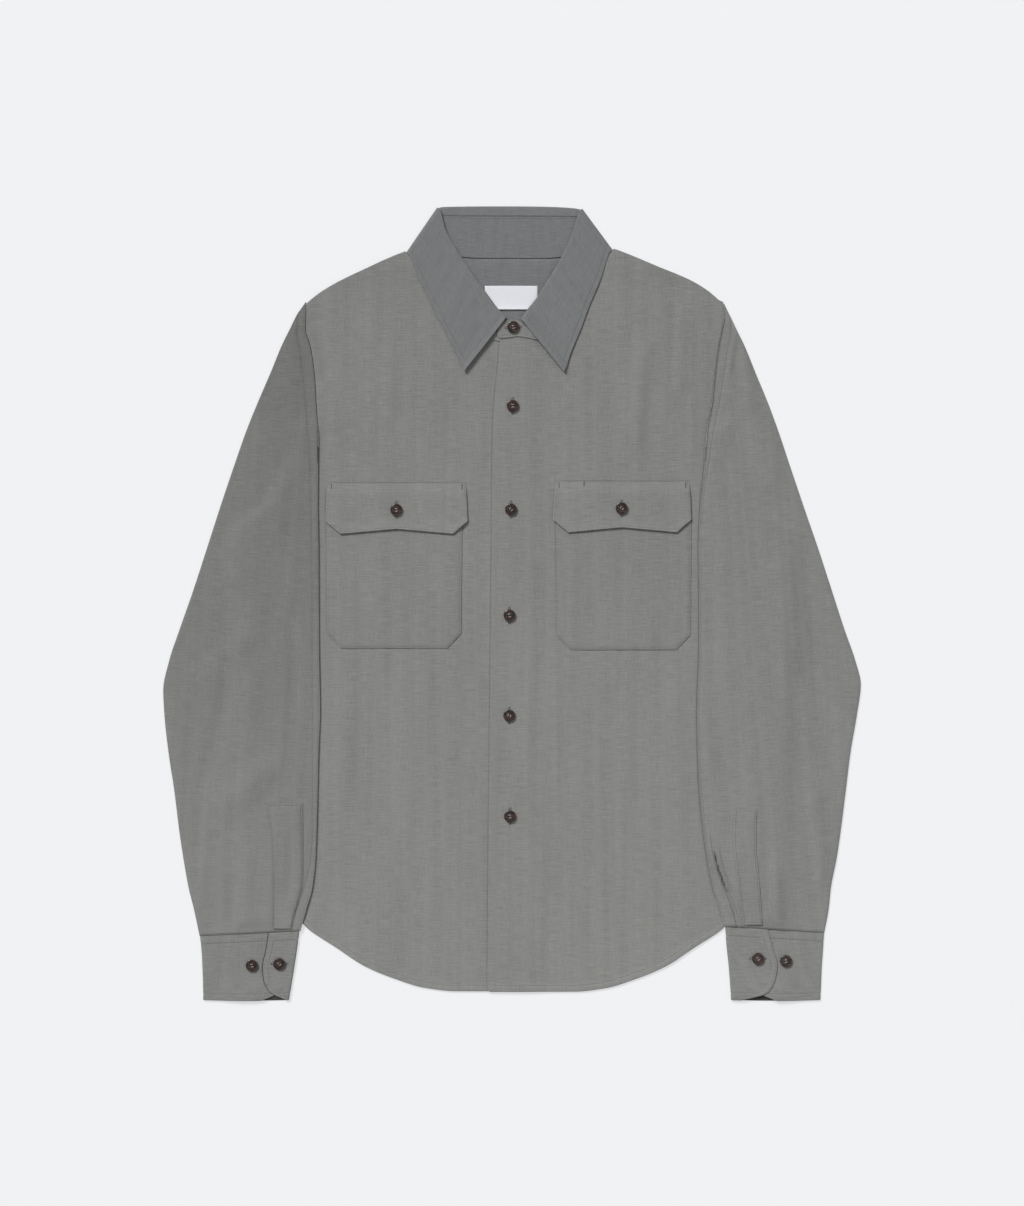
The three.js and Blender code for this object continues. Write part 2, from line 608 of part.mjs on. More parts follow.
const FRONT_NECK_Y = 261;
const UNDER_FRONT_NECK_Y = 260;
const FRONT_EDGE_STEPS = 12;
const HEM_END = 0.1;
function frontOutline(side) {
  const armhole = sidePoints(side, armholeTop(side));
  const neck = neckline(side);
  const shoulder = shoulderPoints(side);
  const outer = [...neck.slice().reverse(), ...shoulder, ...armhole];
  if (side < 0) {
    const hem = hemPoints(-BODY_HALF, UNDER_FRONT_EDGE_X, UNDER_FRONT_HEM_RISE);
    return [[UNDER_FRONT_EDGE_X, UNDER_FRONT_NECK_Y], ...outer, ...hem];
  }
  const hem = hemPoints(BODY_HALF, frontEdgeX(FRONT_HEM_Y) + HEM_END, 0).slice(0, -1);
  const frontEdge = spread(FRONT_HEM_Y, FRONT_NECK_Y, FRONT_EDGE_STEPS);
  return [...outer, ...hem, ...frontEdge.map((y) => [frontEdgeX(y), y])];
}

// The grid that both a front and what lies on it are made from, closer over its long soft fold
const FRONT_COLUMNS = {
  right: { fold: -122.5, others: [-275, -230, -196, -158, -88, -56, -24, 22] },
  left: { fold: 106, others: [275, 230, 190, 150, 136, 78, 56, 35, 17, -30] },
};
const FOLD_COLUMNS = [-18, -12, -6, 0, 6, 12, 18];
const HEM_ROWS = [-400, -360, -320, -280];
const BODY_ROWS = spread(-250, 250, 14);
const NECK_ROWS = [270, 290, YOKE_LIFT_FROM, YOKE_LIFT_FULL, 352, 370];
function frontGrid(side) {
  const { fold, others } = FRONT_COLUMNS[NAMES[side]];
  const xs = [...others, ...FOLD_COLUMNS.map((d) => fold + d)].sort((a, b) => a - b);
  return { xs, ys: [...HEM_ROWS, ...BODY_ROWS, ...NECK_ROWS] };
}

const flapLow = (side, top) => (x, y) => {
  const over = clamp((top - FLAP_SEAM - y) / FLAP_RAMP, 0, 1);
  return frontLow(side, x, y) + PLY + over * PLY;
};

function pocketOutline({ left, right, bottom }, top) {
  return [
    [left, top],
    [left + POCKET_TAPER, bottom + POCKET_CHAMFER],
    [left + POCKET_CHAMFER, bottom],
    [right - POCKET_CHAMFER, bottom],
    [right - POCKET_TAPER, bottom + POCKET_CHAMFER],
    [right, top],
  ];
}

function flapOutline({ left, right, top }) {
  const bottom = top - FLAP_DEPTH;
  return [
    [left, top],
    [left - FLAP_FLARE, bottom + FLAP_SLANT],
    [left + FLAP_SLANT, bottom],
    [lerp(left, right, 0.5), bottom + FLAP_NOTCH],
    [right - FLAP_SLANT, bottom],
    [right + FLAP_FLARE, bottom + FLAP_SLANT],
    [right, top],
  ];
}

// A grid's lines that a piece needs: those inside it and one past each end
const reaching = (lines, from, to) => {
  const sorted = lines.slice().sort((a, b) => a - b);
  const first = sorted.filter((v) => v < from - 1).length - 1;
  const last = sorted.findIndex((v) => v > to + 1);
  return sorted.slice(Math.max(first, 0), last < 0 ? undefined : last + 1);
};

// A sleeve: a flattened tube, open along the armhole and at the cuff. Its sections slant over the
// last stretch, as the cuff's upper edge does.
const SLEEVE_EDGE = 1.2;
const SLEEVE_COLUMNS = [0.03, 0.12, 0.26, 0.4, 0.54, 0.68, 0.82, 0.93, 0.98];
const EXTRA_SECTIONS = [120, 84, 68];
const LAST_SECTION_APART = 10;
const SLANT_LENGTH = 26;
const FOLD_CORNER = 0.35;
const SEAM_CORNER = 0.15;
const SEAM_WIDE = 0.2;
const SEAM_HIGH = { outside: 0.6, inside: 0.8 };
const HOLLOW_INSET = 0.1;
const NARROW = 12;
const LIP_WIDTH = 3;
const LIP_SHARE = 0.2;
const OPEN_END = 8;
const OPEN_SIDE = 3;
function sleeve(side) {
  const table = sleeveTable(side);
  const last = table[table.length - 1].y;
  const stations = [...table.map((row) => row.y), ...EXTRA_SECTIONS, last + LAST_SECTION_APART];
  stations.sort((a, b) => b - a);
  const { rise } = CUFF_TOPS[NAMES[side]];
  const place = (reach, y, z) => {
    const tilt = clamp((last + SLANT_LENGTH - y) / SLANT_LENGTH, 0, 1);
    const outer = along(table, "y", "outer", y);
    const edge = along(table, "y", "edge", y);
    const lift = (rise * tilt * (outer - reach)) / (outer - edge);
    return new THREE.Vector3(side * reach, y + lift, z);
  };
  const outside = stations.map((y) => {
    const outer = along(table, "y", "outer", y);
    const fold = along(table, "y", "fold", y);
    const edge = along(table, "y", "edge", y);
    const low = (reach) => sleeveLow(side, side * reach, y);
    const top = (reach) => sleeveTop(side, side * reach, y);
    const upper = SLEEVE_COLUMNS.map((t) => lerp(fold, outer, t));
    const under = [...SLEEVE_COLUMNS].reverse().map((t) => lerp(edge, outer, t));
    const wide = Math.min(1, (outer - edge) / NARROW);
    const hasLip = (fold - edge) / LIP_WIDTH > LIP_SHARE;
    const turn = Math.max(fold, edge + SEAM_WIDE);
    const seam = (high) => CLOTH + (hasLip ? 0 : high);
    return [
      place(edge, y, low(edge) + CLOTH / 2),
      place(edge + SEAM_CORNER, y, low(edge) + seam(SEAM_HIGH.outside)),
      place(turn - SEAM_CORNER * HOLLOW_INSET, y, low(fold) + seam(SEAM_HIGH.inside)),
      place(turn + SEAM_CORNER * wide, y, top(fold) - FOLD_CORNER),
      ...upper.map((reach) => place(reach, y, top(reach))),
      place(outer - FOLD_CORNER * wide, y, top(outer) - FOLD_CORNER),
      place(outer, y, low(outer) + CLOTH + GAP / 2),
      place(outer - FOLD_CORNER * wide, y, low(outer) + FOLD_CORNER),
      ...under.map((reach) => place(reach, y, low(reach))),
    ];
  });
  const insideStations = [...stations.slice(1), last - OPEN_END];
  const inside = insideStations.map((y) => {
    const at = Math.max(y, last);
    const outer = along(table, "y", "outer", at) - SLEEVE_EDGE;
    const open = y > UNDERARM_Y;
    const fold = along(table, "y", "fold", at);
    const edge = along(table, "y", "edge", at);
    const inner = open ? edge - OPEN_SIDE : fold + SLEEVE_EDGE;
    const columns = SLEEVE_COLUMNS.map((t) => lerp(fold, outer + SLEEVE_EDGE, t)).filter(
      (_, i) => i > 0 && i < SLEEVE_COLUMNS.length - 1,
    );
    const nearest = Math.min(inner + HOLLOW_INSET, outer - 2 * HOLLOW_INSET);
    const held = columns.map((reach) => clamp(reach, nearest, outer - HOLLOW_INSET));
    const low = (reach) => sleeveLow(side, side * reach, at) + CLOTH;
    const high = (reach) => sleeveTop(side, side * reach, at) - CLOTH;
    return [
      place(inner, y, low(Math.max(inner, edge))),
      place(inner, y, Math.max(high(Math.max(inner, fold)), low(Math.max(inner, edge)) + GAP)),
      ...held.map((reach) => place(reach, y, high(reach))),
      place(outer, y, high(outer)),
      place(outer, y, low(outer)),
      ...held.slice().reverse().map((reach) => place(reach, y, low(reach))),
    ];
  });
  const tube = solidOf(loft(outside)).subtract(solidOf(loft(inside)));
  return geometryOf(tube);
}

// A closed section from a line and its thickness. Points are [across, up].
function thicken(line, wall) {
  const [near, far] = [[], []];
  line.forEach((p, i) => {
    const before = line[Math.max(i - 1, 0)];
    const after = line[Math.min(i + 1, line.length - 1)];
    const run = new THREE.Vector2(after[0] - before[0], after[1] - before[1]).normalize();
    near.push([p[0] - (run.y * wall) / 2, p[1] + (run.x * wall) / 2]);
    far.unshift([p[0] + (run.y * wall) / 2, p[1] - (run.x * wall) / 2]);
  });
  return [...near, ...far];
}

// A cuff: one band from its lower end round the outer fold, along the floor, round the inner
// fold and over to its lapping end
const FOLD_STEPS = 5;
function cuff(side) {
  const table = side < 0 ? CUFF_RIGHT : CUFF_LEFT;
  const [top, bottom] = [table[0], table[table.length - 1]];
  const { outerY, innerY } = CUFF_TOPS[NAMES[side]];
  const cuffTop = (reach) => lerp(outerY, innerY, (top.outer - reach) / (top.outer - top.inner));
  const middle = lerp(bottom.outer, bottom.inner, 0.5);
  const cuffBottom = (reach) => CUFF_BOTTOM + CUFF_BOW * ((reach - middle) / CUFF_HALF) ** 2;
  const rings = spread(0, 1, CUFF_ROWS).map((down) => {
    const at = (column) => along(table, "down", column, down);
    const [outer, inner, lap, under] = ["outer", "inner", "lap", "under"].map(at);
    const centre = CUFF_WALL / 2;
    const small = CUFF_PLY / 2;
    const large = CUFF_PLY;
    const arc = (x, z, r, from, to) =>
      spread(from, to, FOLD_STEPS).map((turn) => [
        x + r * Math.cos(THREE.MathUtils.degToRad(turn)),
        z + r * Math.sin(THREE.MathUtils.degToRad(turn)),
      ]);
    const line = [
      [under, centre + CUFF_PLY],
      ...arc(outer - centre - small, centre + small, small, 90, -90),
      ...arc(inner + centre + large, centre + large, large, -90, -270),
      [lap, centre + 2 * CUFF_PLY],
    ];
    return thicken(line, CUFF_WALL).map(([reach, z]) => {
      const y = lerp(cuffTop(reach), cuffBottom(reach), down);
      return new THREE.Vector3(side * reach, y, z);
    });
  });
  return loft(rings);
}

// A point of the collar: on a row, at a distance from the roll line, between its place under the
// neck and its place on top
function collarPoint(row, distance, below, above) {
  const at = onRow(row, distance);
  const turn = THREE.MathUtils.degToRad(row.turn);
  const radius = (above - below) / 2;
  const run = new THREE.Vector2(row.edgeX - row.rollX, row.edgeY - row.rollY).normalize();
  const outward = row.rollX < 0 ? new THREE.Vector2(run.y, -run.x) : new THREE.Vector2(-run.y, run.x);
  at.addScaledVector(outward, radius * Math.cos(turn));
  return new THREE.Vector3(at.x, at.y, (above + below) / 2 + radius * Math.sin(turn));
}

// The collar leaf: the turned-in part beside the stand, the roll, and the fall outside it. Its
// faces are given by shares of a row, and the turned-in part by distances and by heights under the
// neck and on top.
const FALL_SHARES = [0.08, 0.3, 0.55, 0.8, 0.985];
const LEAF_INSIDE = [
  { distance: 3.2, below: PLY, above: TURN_IN_TOP },
  { distance: LEAF_TURN_IN, below: PLY, above: TURN_IN_TOP },
  { distance: LEAF_TURN_IN, below: PLY + CLOTH, above: TURN_IN_LOW },
  { distance: 1.6, below: PLY + CLOTH, above: TURN_IN_LOW },
  { distance: 0.4, below: 1.8, above: 3.2 },
  { distance: 0, below: 1.15, above: (TURN_IN_LOW + ROLL_HEIGHT) / 2 },
  { distance: 0.5, below: 0.4, above: 5.7 },
];
const EDGE_ROUNDS = [0.25, 0.75];
function collarLeaf() {
  const rings = COLLAR.map((row) => {
    const length = Math.hypot(row.edgeX - row.rollX, row.edgeY - row.rollY);
    const drop = (t) => lerp(ROLL_HEIGHT, EDGE_HEIGHT, soft(clamp((t - 0.5) * 2, 0, 1)));
    const face = (t, deep) => collarPoint(row, length * t, deep, drop(t) - deep);
    return [
      ...FALL_SHARES.map((t) => face(t, 0)),
      ...EDGE_ROUNDS.map((deep) => face(1, deep)),
      ...[...FALL_SHARES].reverse().map((t) => face(t, CLOTH)),
      ...LEAF_INSIDE.map(({ distance, below, above }) => collarPoint(row, distance, below, above)),
    ];
  });
  return loft(rings);
}

// The collar stand: one band from its lower end round the neck to its lapping end
const LAP_RAMP = [0.45, 1];
function collarStand() {
  const inLeaf = COLLAR.map((row, i) => {
    const lapping = PLY * (LAP_RAMP[i - COLLAR.length + LAP_RAMP.length] ?? 0);
    return [
      [STAND_TOP, PLY, TURN_IN_TOP + lapping],
      [row.neck, PLY, TURN_IN_TOP + lapping],
      [row.neck, PLY + CLOTH, TURN_IN_LOW + lapping],
      [STAND_TOP, PLY + CLOTH, TURN_IN_LOW + lapping],
    ].map(([distance, below, above]) => collarPoint(row, distance, below, above));
  });
  const end = (row) => [
    new THREE.Vector3(row.topX, row.topY, row.low + CLOTH),
    new THREE.Vector3(row.bottomX, row.bottomY, row.low + CLOTH),
    new THREE.Vector3(row.bottomX, row.bottomY, row.low),
    new THREE.Vector3(row.topX, row.topY, row.low),
  ];
  const under = STAND_UNDER_END.map(end).reverse();
  return loft([...under, ...inLeaf, ...STAND_LAP_END.map(end)]);
}

// A button: a turned disc with a raised rim round a sunk middle
function button() {
  const r = BUTTON_D / 2;
  const profile = [
    [0, 0],
    [r - BUTTON_CHAMFER, 0],
    [r, BUTTON_THICK / 2],
    [r - BUTTON_CHAMFER, BUTTON_THICK],
    [r - BUTTON_RIM, BUTTON_THICK],
    [r - BUTTON_RIM - BUTTON_CHAMFER, BUTTON_THICK - BUTTON_CHAMFER],
    [0, BUTTON_THICK - BUTTON_CHAMFER],
  ].map(([x, y]) => new THREE.Vector2(x, y));
  return new THREE.LatheGeometry(profile, BUTTON_SIDES).rotateX(Math.PI / 2);
}

// Materials and the finished group
const cloth = new THREE.MeshStandardMaterial({ color: 0x7d7e7b, roughness: 0.92, side: 2 });
const horn = new THREE.MeshStandardMaterial({ color: 0x3a2a24, roughness: 0.35 });
const plain = new THREE.MeshStandardMaterial({ color: 0xd9dad7, roughness: 0.8 });

const shirt = new THREE.Group();
function add(name, geometry, material = cloth) {
  const mesh = new THREE.Mesh(geometry, material);
  mesh.name = name;
  shirt.add(mesh);
  return mesh;
}
function addButton(name, x, y, seat) {
  add(name, button(), horn).position.set(x, y, seat + GAP);
}

const WHOLE_X = [-270, 270];
const [BELOW_HEM, ABOVE_NECK] = [-400, 380];
add(
  "back",
  panel(backOutline(), WHOLE_X, [BELOW_HEM, ABOVE_NECK], () => BACK_LOW),
);
const yokeRows = [BELOW_HEM, YOKE_LIFT_FROM, YOKE_LIFT_FULL, ABOVE_NECK];
add("yoke", panel(yokeOutline(), WHOLE_X, yokeRows, yokeLow));

for (const side of [-1, 1]) {
  const { xs, ys } = frontGrid(side);
  const low = (x, y) => frontLow(side, x, y);
  add("front_" + NAMES[side], panel(frontOutline(side), xs, ys, low));
  add("sleeve_" + NAMES[side], sleeve(side));
  add("cuff_" + NAMES[side], cuff(side));
}

for (const { side, flap, pocket } of POCKETS) {
  const sign = side === "right" ? -1 : 1;
  const { xs, ys } = frontGrid(sign);
  const columns = reaching(xs, flap.left - FLAP_FLARE, flap.right + FLAP_FLARE);
  const pocketTop = flap.top - POCKET_TOP_BELOW_FLAP;
  add(
    "pocket_" + side,
    panel(
      pocketOutline(pocket, pocketTop),
      columns,
      reaching(ys, pocket.bottom, pocketTop),
      (x, y) => frontLow(sign, x, y) + PLY,
    ),
  );
  const flapRows = reaching(ys, flap.top - FLAP_DEPTH, flap.top);
  flapRows.push(flap.top - FLAP_SEAM, flap.top - FLAP_SEAM - FLAP_RAMP);
  add(
    "pocket_flap_" + side,
    panel(
      flapOutline(flap),
      columns,
      flapRows.sort((a, b) => a - b),
      flapLow(sign, flap.top),
    ),
  );
  const y = flap.top - FLAP_BUTTON_DROP;
  const seat = flapLow(sign, flap.top)(flap.buttonX, y) + CLOTH;
  addButton("button_flap_" + side, flap.buttonX, y, seat);
}

for (const { side, top, bottom, outer, inner } of PLACKETS) {
  const sign = side === "right" ? -1 : 1;
  const low = (x, y) => sleeveTop(sign, x, y) + GAP;
  const rings = spread(top, bottom, PLACKET_ROWS).map((y) => {
    const reaches = spread(outer, inner, PLACKET_COLUMNS);
    const point = (reach, lift) =>
      new THREE.Vector3(sign * reach, y, low(sign * reach, y) + lift);
    return [
      ...reaches.map((reach) => point(reach, 0)),
      ...reaches.reverse().map((reach) => point(reach, CLOTH)),
    ];
  });
  add("sleeve_placket_" + side, loft(rings));
}

add("collar_leaf", collarLeaf());
add("collar_stand", collarStand());
const labelShape = [
  [LABEL.left, LABEL.top],
  [LABEL.left, LABEL.bottom],
  [LABEL.right, LABEL.bottom],
  [LABEL.right, LABEL.top],
];
add(
  "label",
  panel(labelShape, WHOLE_X, [BELOW_HEM, ABOVE_NECK], () => PLY),
  plain,
);

addButton("button_neck", NECK_BUTTON.x, NECK_BUTTON.y, LAP_END_LOW + CLOTH);
FRONT_BUTTONS.forEach(({ x, y }, i) => {
  addButton("button_front_" + (i + 1), x, y, frontLow(1, x, y) + CLOTH);
});
for (const { name, x, y, on } of CUFF_BUTTONS) {
  addButton(name, x, y, CUFF_WALL + CUFF_PLY * (on === "lap" ? 2 : 1));
}

export default shirt;
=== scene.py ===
# A long-sleeved shirt with two flap pockets, buttoned up and laid flat on its back.
# Sizes are in millimetres and are turned to metres where a mesh is made. X runs across the
# shirt towards the wearer's left sleeve, Y from hem to neck, Z up from the surface it lies on.
# Left and right are the wearer's, and side is -1 on the right and 1 on the left.
import math

import bpy
import numpy as np
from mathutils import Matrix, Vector, noise
from mathutils.geometry import delaunay_2d_cdt


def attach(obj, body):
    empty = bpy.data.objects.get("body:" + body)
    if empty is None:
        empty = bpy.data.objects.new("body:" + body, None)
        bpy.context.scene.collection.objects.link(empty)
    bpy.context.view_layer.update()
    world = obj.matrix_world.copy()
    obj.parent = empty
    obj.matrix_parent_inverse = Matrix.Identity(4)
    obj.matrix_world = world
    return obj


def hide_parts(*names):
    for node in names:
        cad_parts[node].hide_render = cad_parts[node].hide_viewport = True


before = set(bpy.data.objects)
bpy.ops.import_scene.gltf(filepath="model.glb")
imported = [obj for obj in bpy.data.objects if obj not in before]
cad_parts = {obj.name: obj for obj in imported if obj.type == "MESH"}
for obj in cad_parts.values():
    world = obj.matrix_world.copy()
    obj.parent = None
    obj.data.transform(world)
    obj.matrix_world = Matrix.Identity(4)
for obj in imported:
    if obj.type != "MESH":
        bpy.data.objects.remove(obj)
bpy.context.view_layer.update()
bpy.ops.object.select_all(action="DESELECT")

MM = 0.001
NAMES = {-1: "right", 1: "left"}


# Camera, floor and light
# The shirt is photographed from straight above with a long lens, on a pale table that is lit
# from within and so shows little shadow, under soft lights. The frame is 1024 by 1206 pixels,
# at 1 mm to the pixel.
PHOTO_HEIGHT = 1206
LENS = 85
SENSOR = 36
FRAME_CENTRE_Y = 0.5
SHIRT_MIDDLE_Z = 3

camera_data = bpy.data.cameras.new("camera")
camera_data.lens = LENS
camera_data.sensor_width = SENSOR
camera = bpy.data.objects.new("camera", camera_data)
camera_height = PHOTO_HEIGHT * LENS / SENSOR + SHIRT_MIDDLE_Z
camera.location = (0, FRAME_CENTRE_Y * MM, camera_height * MM)
bpy.context.collection.objects.link(camera)
bpy.context.scene.camera = camera
bpy.context.scene.view_settings.view_transform = "Standard"


def new_material(name, **values):
    """A material, its node tree and its shader, whose sockets are given values."""
    material = bpy.data.materials.new(name)
    material.use_nodes = True
    shader = material.node_tree.nodes["Principled BSDF"]
    for socket, value in values.items():
        shader.inputs[socket.replace("_", " ")].default_value = value
    return material, material.node_tree, shader


FLOOR_SIZE = 9000
FLOOR_LOW = -0.2
bpy.ops.mesh.primitive_plane_add(size=FLOOR_SIZE * MM, location=(0, 0, FLOOR_LOW * MM))
floor = bpy.context.object
floor.name = "floor"
floor_material, _, _ = new_material(
    "pale_floor", Base_Color=(0.30, 0.30, 0.305, 1), Emission_Color=(0.575, 0.581, 0.592, 1),
    Emission_Strength=1, Roughness=0.9, Specular_IOR_Level=0.1,
)
floor.data.materials.append(floor_material)

world = bpy.data.worlds.new("studio")
world.use_nodes = True
sky = world.node_tree.nodes["Background"].inputs
sky["Color"].default_value = (0.98, 0.99, 1, 1)
sky["Strength"].default_value = 0.30
bpy.context.scene.world = world


def softbox(name, towards, power, spread):
    """A large distant softbox: the direction it stands in, its power and its width in degrees."""
    light = bpy.data.lights.new(name, "SUN")
    light.energy = power
    light.angle = math.radians(spread)
    lamp = bpy.data.objects.new(name, light)
    lamp.location = towards
    lamp.rotation_euler = (-Vector(towards)).to_track_quat("-Z", "Y").to_euler()
    bpy.context.collection.objects.link(lamp)


softbox("softbox_top_left", (-1.15, 1.6, 2.05), 2.72, 20)
softbox("softbox_right", (1.6, -0.9, 2.6), 0.35, 60)


# Back
# One piece of plain-woven cloth from the yoke seam to the shirt-tail hem, face down on the
# floor. Only its edge shows past the fronts and the sleeves.
CLOTH = 1.0
GAP = 0.3
PLY = CLOTH + GAP
SEWN_GAP = 0.02
UNDERARM_Y = 155
YOKE_SEAM_Y = 258
HEM_CORNER_Y = -301.5
HEM_MIDDLE_X = 3
BACK_HEM_RISE = 2
BODY_HALF = 250
ARMHOLE_START = 5

# The armhole and side seam where the sleeves hide them, the same on both sides
HIDDEN_SIDE = (
    ("y", "reach"),
    (155, 195), (128, 207), (98, 226), (68, 258), (40, 262), (-100, 256), (-250, 252), (-302, 250),
)

# The shirt-tail hem, by distance from the middle of the shirt
HEM = (
    ("reach", "y"),
    (0, -388.5), (60, -388.3), (90, -385), (120, -376), (150, -363.5), (180, -344),
    (206, -327), (214, -319.5), (250, -301.5),
)

# Sleeves: outer fold, inner fold of the upper layer, and edge of the felled seam beside it.
# Above the underarm the last two are the armhole's felled seam, with its far and its near side.
# Distances from the middle of the shirt.
SLEEVE_RIGHT = (
    ("y", "outer", "fold", "edge"),
    (301.3, 206.6, 206.2, 205.7),
    (297, 209.5, 208.7, 205.8),
    (290, 214.5, 213.3, 205.7),
    (274, 222.5, 214.9, 206),
    (258, 230.5, 212.6, 201.4),
    (230, 242, 208.6, 197.2),
    (201, 254.5, 205.8, 195.4),
    (171, 266.5, 203.4, 193.9),
    (141, 277, 201.2, 193.8),
    (98, 291.5, 199.9, 194),
    (53, 306, 199.1, 193.2),
    (13, 319, 198.8, 193),
    (-27, 333, 198.6, 192.8),
    (-57, 343, 198.5, 192.6),
    (-87, 349, 198.4, 192),
    (-109, 348, 198.3, 191.7),
    (-147, 344, 198.3, 193.3),
    (-187, 338, 198.2, 194.2),
    (-227, 333, 198.2, 195.2),
    (-254, 329, 200, 196.2),
    (-285, 323.5, 207, 199.6),
    (-305, 318.5, 214, 205.2),
    (-332.8, 312.6, 219, 211.5),
)
SLEEVE_LEFT = (
    ("y", "outer", "fold", "edge"),
    (299.6, 212.5, 212.2, 211.6),
    (294, 215, 214.4, 211.9),
    (287, 218.5, 217.4, 212.3),
    (274, 224.5, 219.6, 210),
    (258, 232.5, 217.2, 206.8),
    (230, 244, 213, 203),
    (201, 256, 208.4, 200.2),
    (171, 267, 202, 194.9),
    (141, 277, 197.2, 193),
    (98, 291.5, 191.9, 188.7),
    (53, 307, 189.6, 186.8),
    (13, 320, 190.3, 187.5),
    (-27, 333, 190.4, 187.6),
    (-57, 343.5, 190, 187.2),
    (-81, 349, 189, 186.2),
    (-109, 345.5, 188.2, 185.4),
    (-147, 339, 188.8, 186),
    (-187, 334, 190.6, 187.8),
    (-227, 329, 194.3, 191.5),
    (-254, 325, 198.1, 195.3),
    (-285, 319, 203.8, 201),
    (-305, 317, 209.8, 207),
    (-329.8, 312.4, 214.6, 211.8),
)
SLEEVES = {-1: SLEEVE_RIGHT, 1: SLEEVE_LEFT}


def column(table, name):
    """A table's column, as numbers."""
    at = table[0].index(name)
    return np.array([row[at] for row in table[1:]], float)


def through(keys, values, at):
    """Values at a place on a smooth curve through points, which never overshoots them."""
    if keys[-1] < keys[0]:
        keys, values = keys[::-1], values[::-1]
    slope = np.diff(values) / np.diff(keys)
    product = slope[:-1] * slope[1:]
    total = slope[:-1] + slope[1:]
    mean = np.where(product > 0, 2 * product / np.where(product > 0, total, 1), 0)
    ends = np.concatenate(([slope[0]], mean, [slope[-1]]))
    i = np.clip(np.searchsorted(keys, at, side="right") - 1, 0, len(keys) - 2)
    span = keys[i + 1] - keys[i]
    t = np.clip((at - keys[i]) / span, 0, 1)
    bend = (ends[i] - slope[i]) * t * (1 - t) ** 2 - (ends[i + 1] - slope[i]) * t * t * (1 - t)
    return values[i] + (values[i + 1] - values[i]) * t + bend * span


def along(table, key, name, at):
    """A table's column at a place, which is measured in the key column."""
    return through(column(table, key), column(table, name), np.asarray(at, float))


def soft(t):
    """A smooth step from 0 to 1."""
    t = np.clip(t, 0, 1)
    return t * t * (3 - 2 * t)


def side_x(side, y):
    """The edge of the body: the armhole, and below the underarm the hidden side seam."""
    y = np.asarray(y, float)
    seen = along(SLEEVES[side], "y", "edge", y) - SEWN_GAP
    return side * np.where(y > UNDERARM_Y, seen, along(HIDDEN_SIDE, "y", "reach", y))


def hem_y(x):
    """The lower edge of the shirt."""
    return along(HEM, "reach", "y", np.abs(np.asarray(x, float) - HEM_MIDDLE_X))


def pairs(xs, ys):
    """Points in the plan from two rows of numbers."""
    return [(float(x), float(y)) for x, y in zip(xs, ys)]


def hem_points(start, end, rise):
    """The hem from one x to another, lifted by rise."""
    xs = np.linspace(start, end, 90)
    return pairs(xs, hem_y(xs) + rise)


def side_points(side, top):
    """One side of the body from the armhole seam at top down to the hem's corner."""
    seam = np.linspace(top, UNDERARM_Y + 2, 26)
    hidden = np.linspace(UNDERARM_Y - 2, HEM_CORNER_Y + 6, 44)
    ys = np.concatenate((seam, hidden))
    return pairs(side_x(side, ys), ys)


def evened(line, step, closed):
    """A line with points added, so that none lie further apart than step."""
    points = np.array(line, float)
    ends = np.vstack((points[1:], points[:1])) if closed else points[1:]
    out = []
    for a, b in zip(points, ends):
        parts = max(1, math.ceil(np.hypot(*(b - a)) / step))
        out += [tuple(a + (b - a) * k / parts) for k in range(parts)]
    if not closed:
        out.append(tuple(points[-1]))
    return out


def beside(line, distance, closed=False):
    """The line moved to its left by a distance, with its corners kept sharp."""
    points = np.array(line, float)
    if closed:
        before, after = np.roll(points, 1, 0), np.roll(points, -1, 0)
    else:
        before = np.vstack((2 * points[0] - points[1], points[:-1]))
        after = np.vstack((points[1:], 2 * points[-1] - points[-2]))
    into, out = points - before, after - points
    into /= np.linalg.norm(into, axis=1)[:, None]
    out /= np.linalg.norm(out, axis=1)[:, None]
    normal = np.stack((-into[:, 1], into[:, 0]), 1)
    middle = normal + np.stack((-out[:, 1], out[:, 0]), 1)
    middle /= np.linalg.norm(middle, axis=1)[:, None]
    sharp = np.clip((middle * normal).sum(1), 0.4, 1)
    return points + middle * (distance / sharp)[:, None]


def distance_to(line, x, y, closed=False):
    """How far points in the plan lie from a line."""
    points = np.array(line, float)
    ends = np.roll(points, -1, 0) if closed else points[1:]
    best = np.full(np.shape(x), 1e9)
    for (ax, ay), (bx, by) in zip(points, ends):
        dx, dy = bx - ax, by - ay
        t = np.clip(((x - ax) * dx + (y - ay) * dy) / max(dx * dx + dy * dy, 1e-9), 0, 1)
        best = np.minimum(best, np.hypot(x - ax - t * dx, y - ay - t * dy))
    return best


def inside(outline, x, y):
    """Which points in the plan lie inside a closed outline."""
    points = np.array(outline, float)
    odd = np.zeros(np.shape(x), bool)
    for (ax, ay), (bx, by) in zip(points, np.roll(points, -1, 0)):
        if ay != by:
            odd ^= ((ay > y) != (by > y)) & (x < (bx - ax) * (y - ay) / (by - ay) + ax)
    return odd


def area_of(outline):
    """The area inside an outline, positive when it runs anticlockwise."""
    points = np.array(outline, float)
    after = np.roll(points, -1, 0)
    return float((points[:, 0] * after[:, 1] - after[:, 0] * points[:, 1]).sum() / 2)


def object_of(name, points, faces, material, uv=None):
    """A smooth-shaded mesh object from points in millimetres, with its own UV map if given."""
    mesh = bpy.data.meshes.new(name)
    mesh.from_pydata((np.asarray(points, float) * MM).tolist(), [], faces)
    mesh.polygons.foreach_set("use_smooth", np.ones(len(mesh.polygons), bool))
    if uv is not None:
        corners = np.zeros(len(mesh.loops), int)
        mesh.loops.foreach_get("vertex_index", corners)
        layer = mesh.uv_layers.new(name="cloth")
        layer.data.foreach_set("uv", (np.asarray(uv, float) * MM)[corners].ravel())
    mesh.update()
    made = bpy.data.objects.new(name, mesh)
    made.data.materials.append(material)
    bpy.context.collection.objects.link(made)
    return made


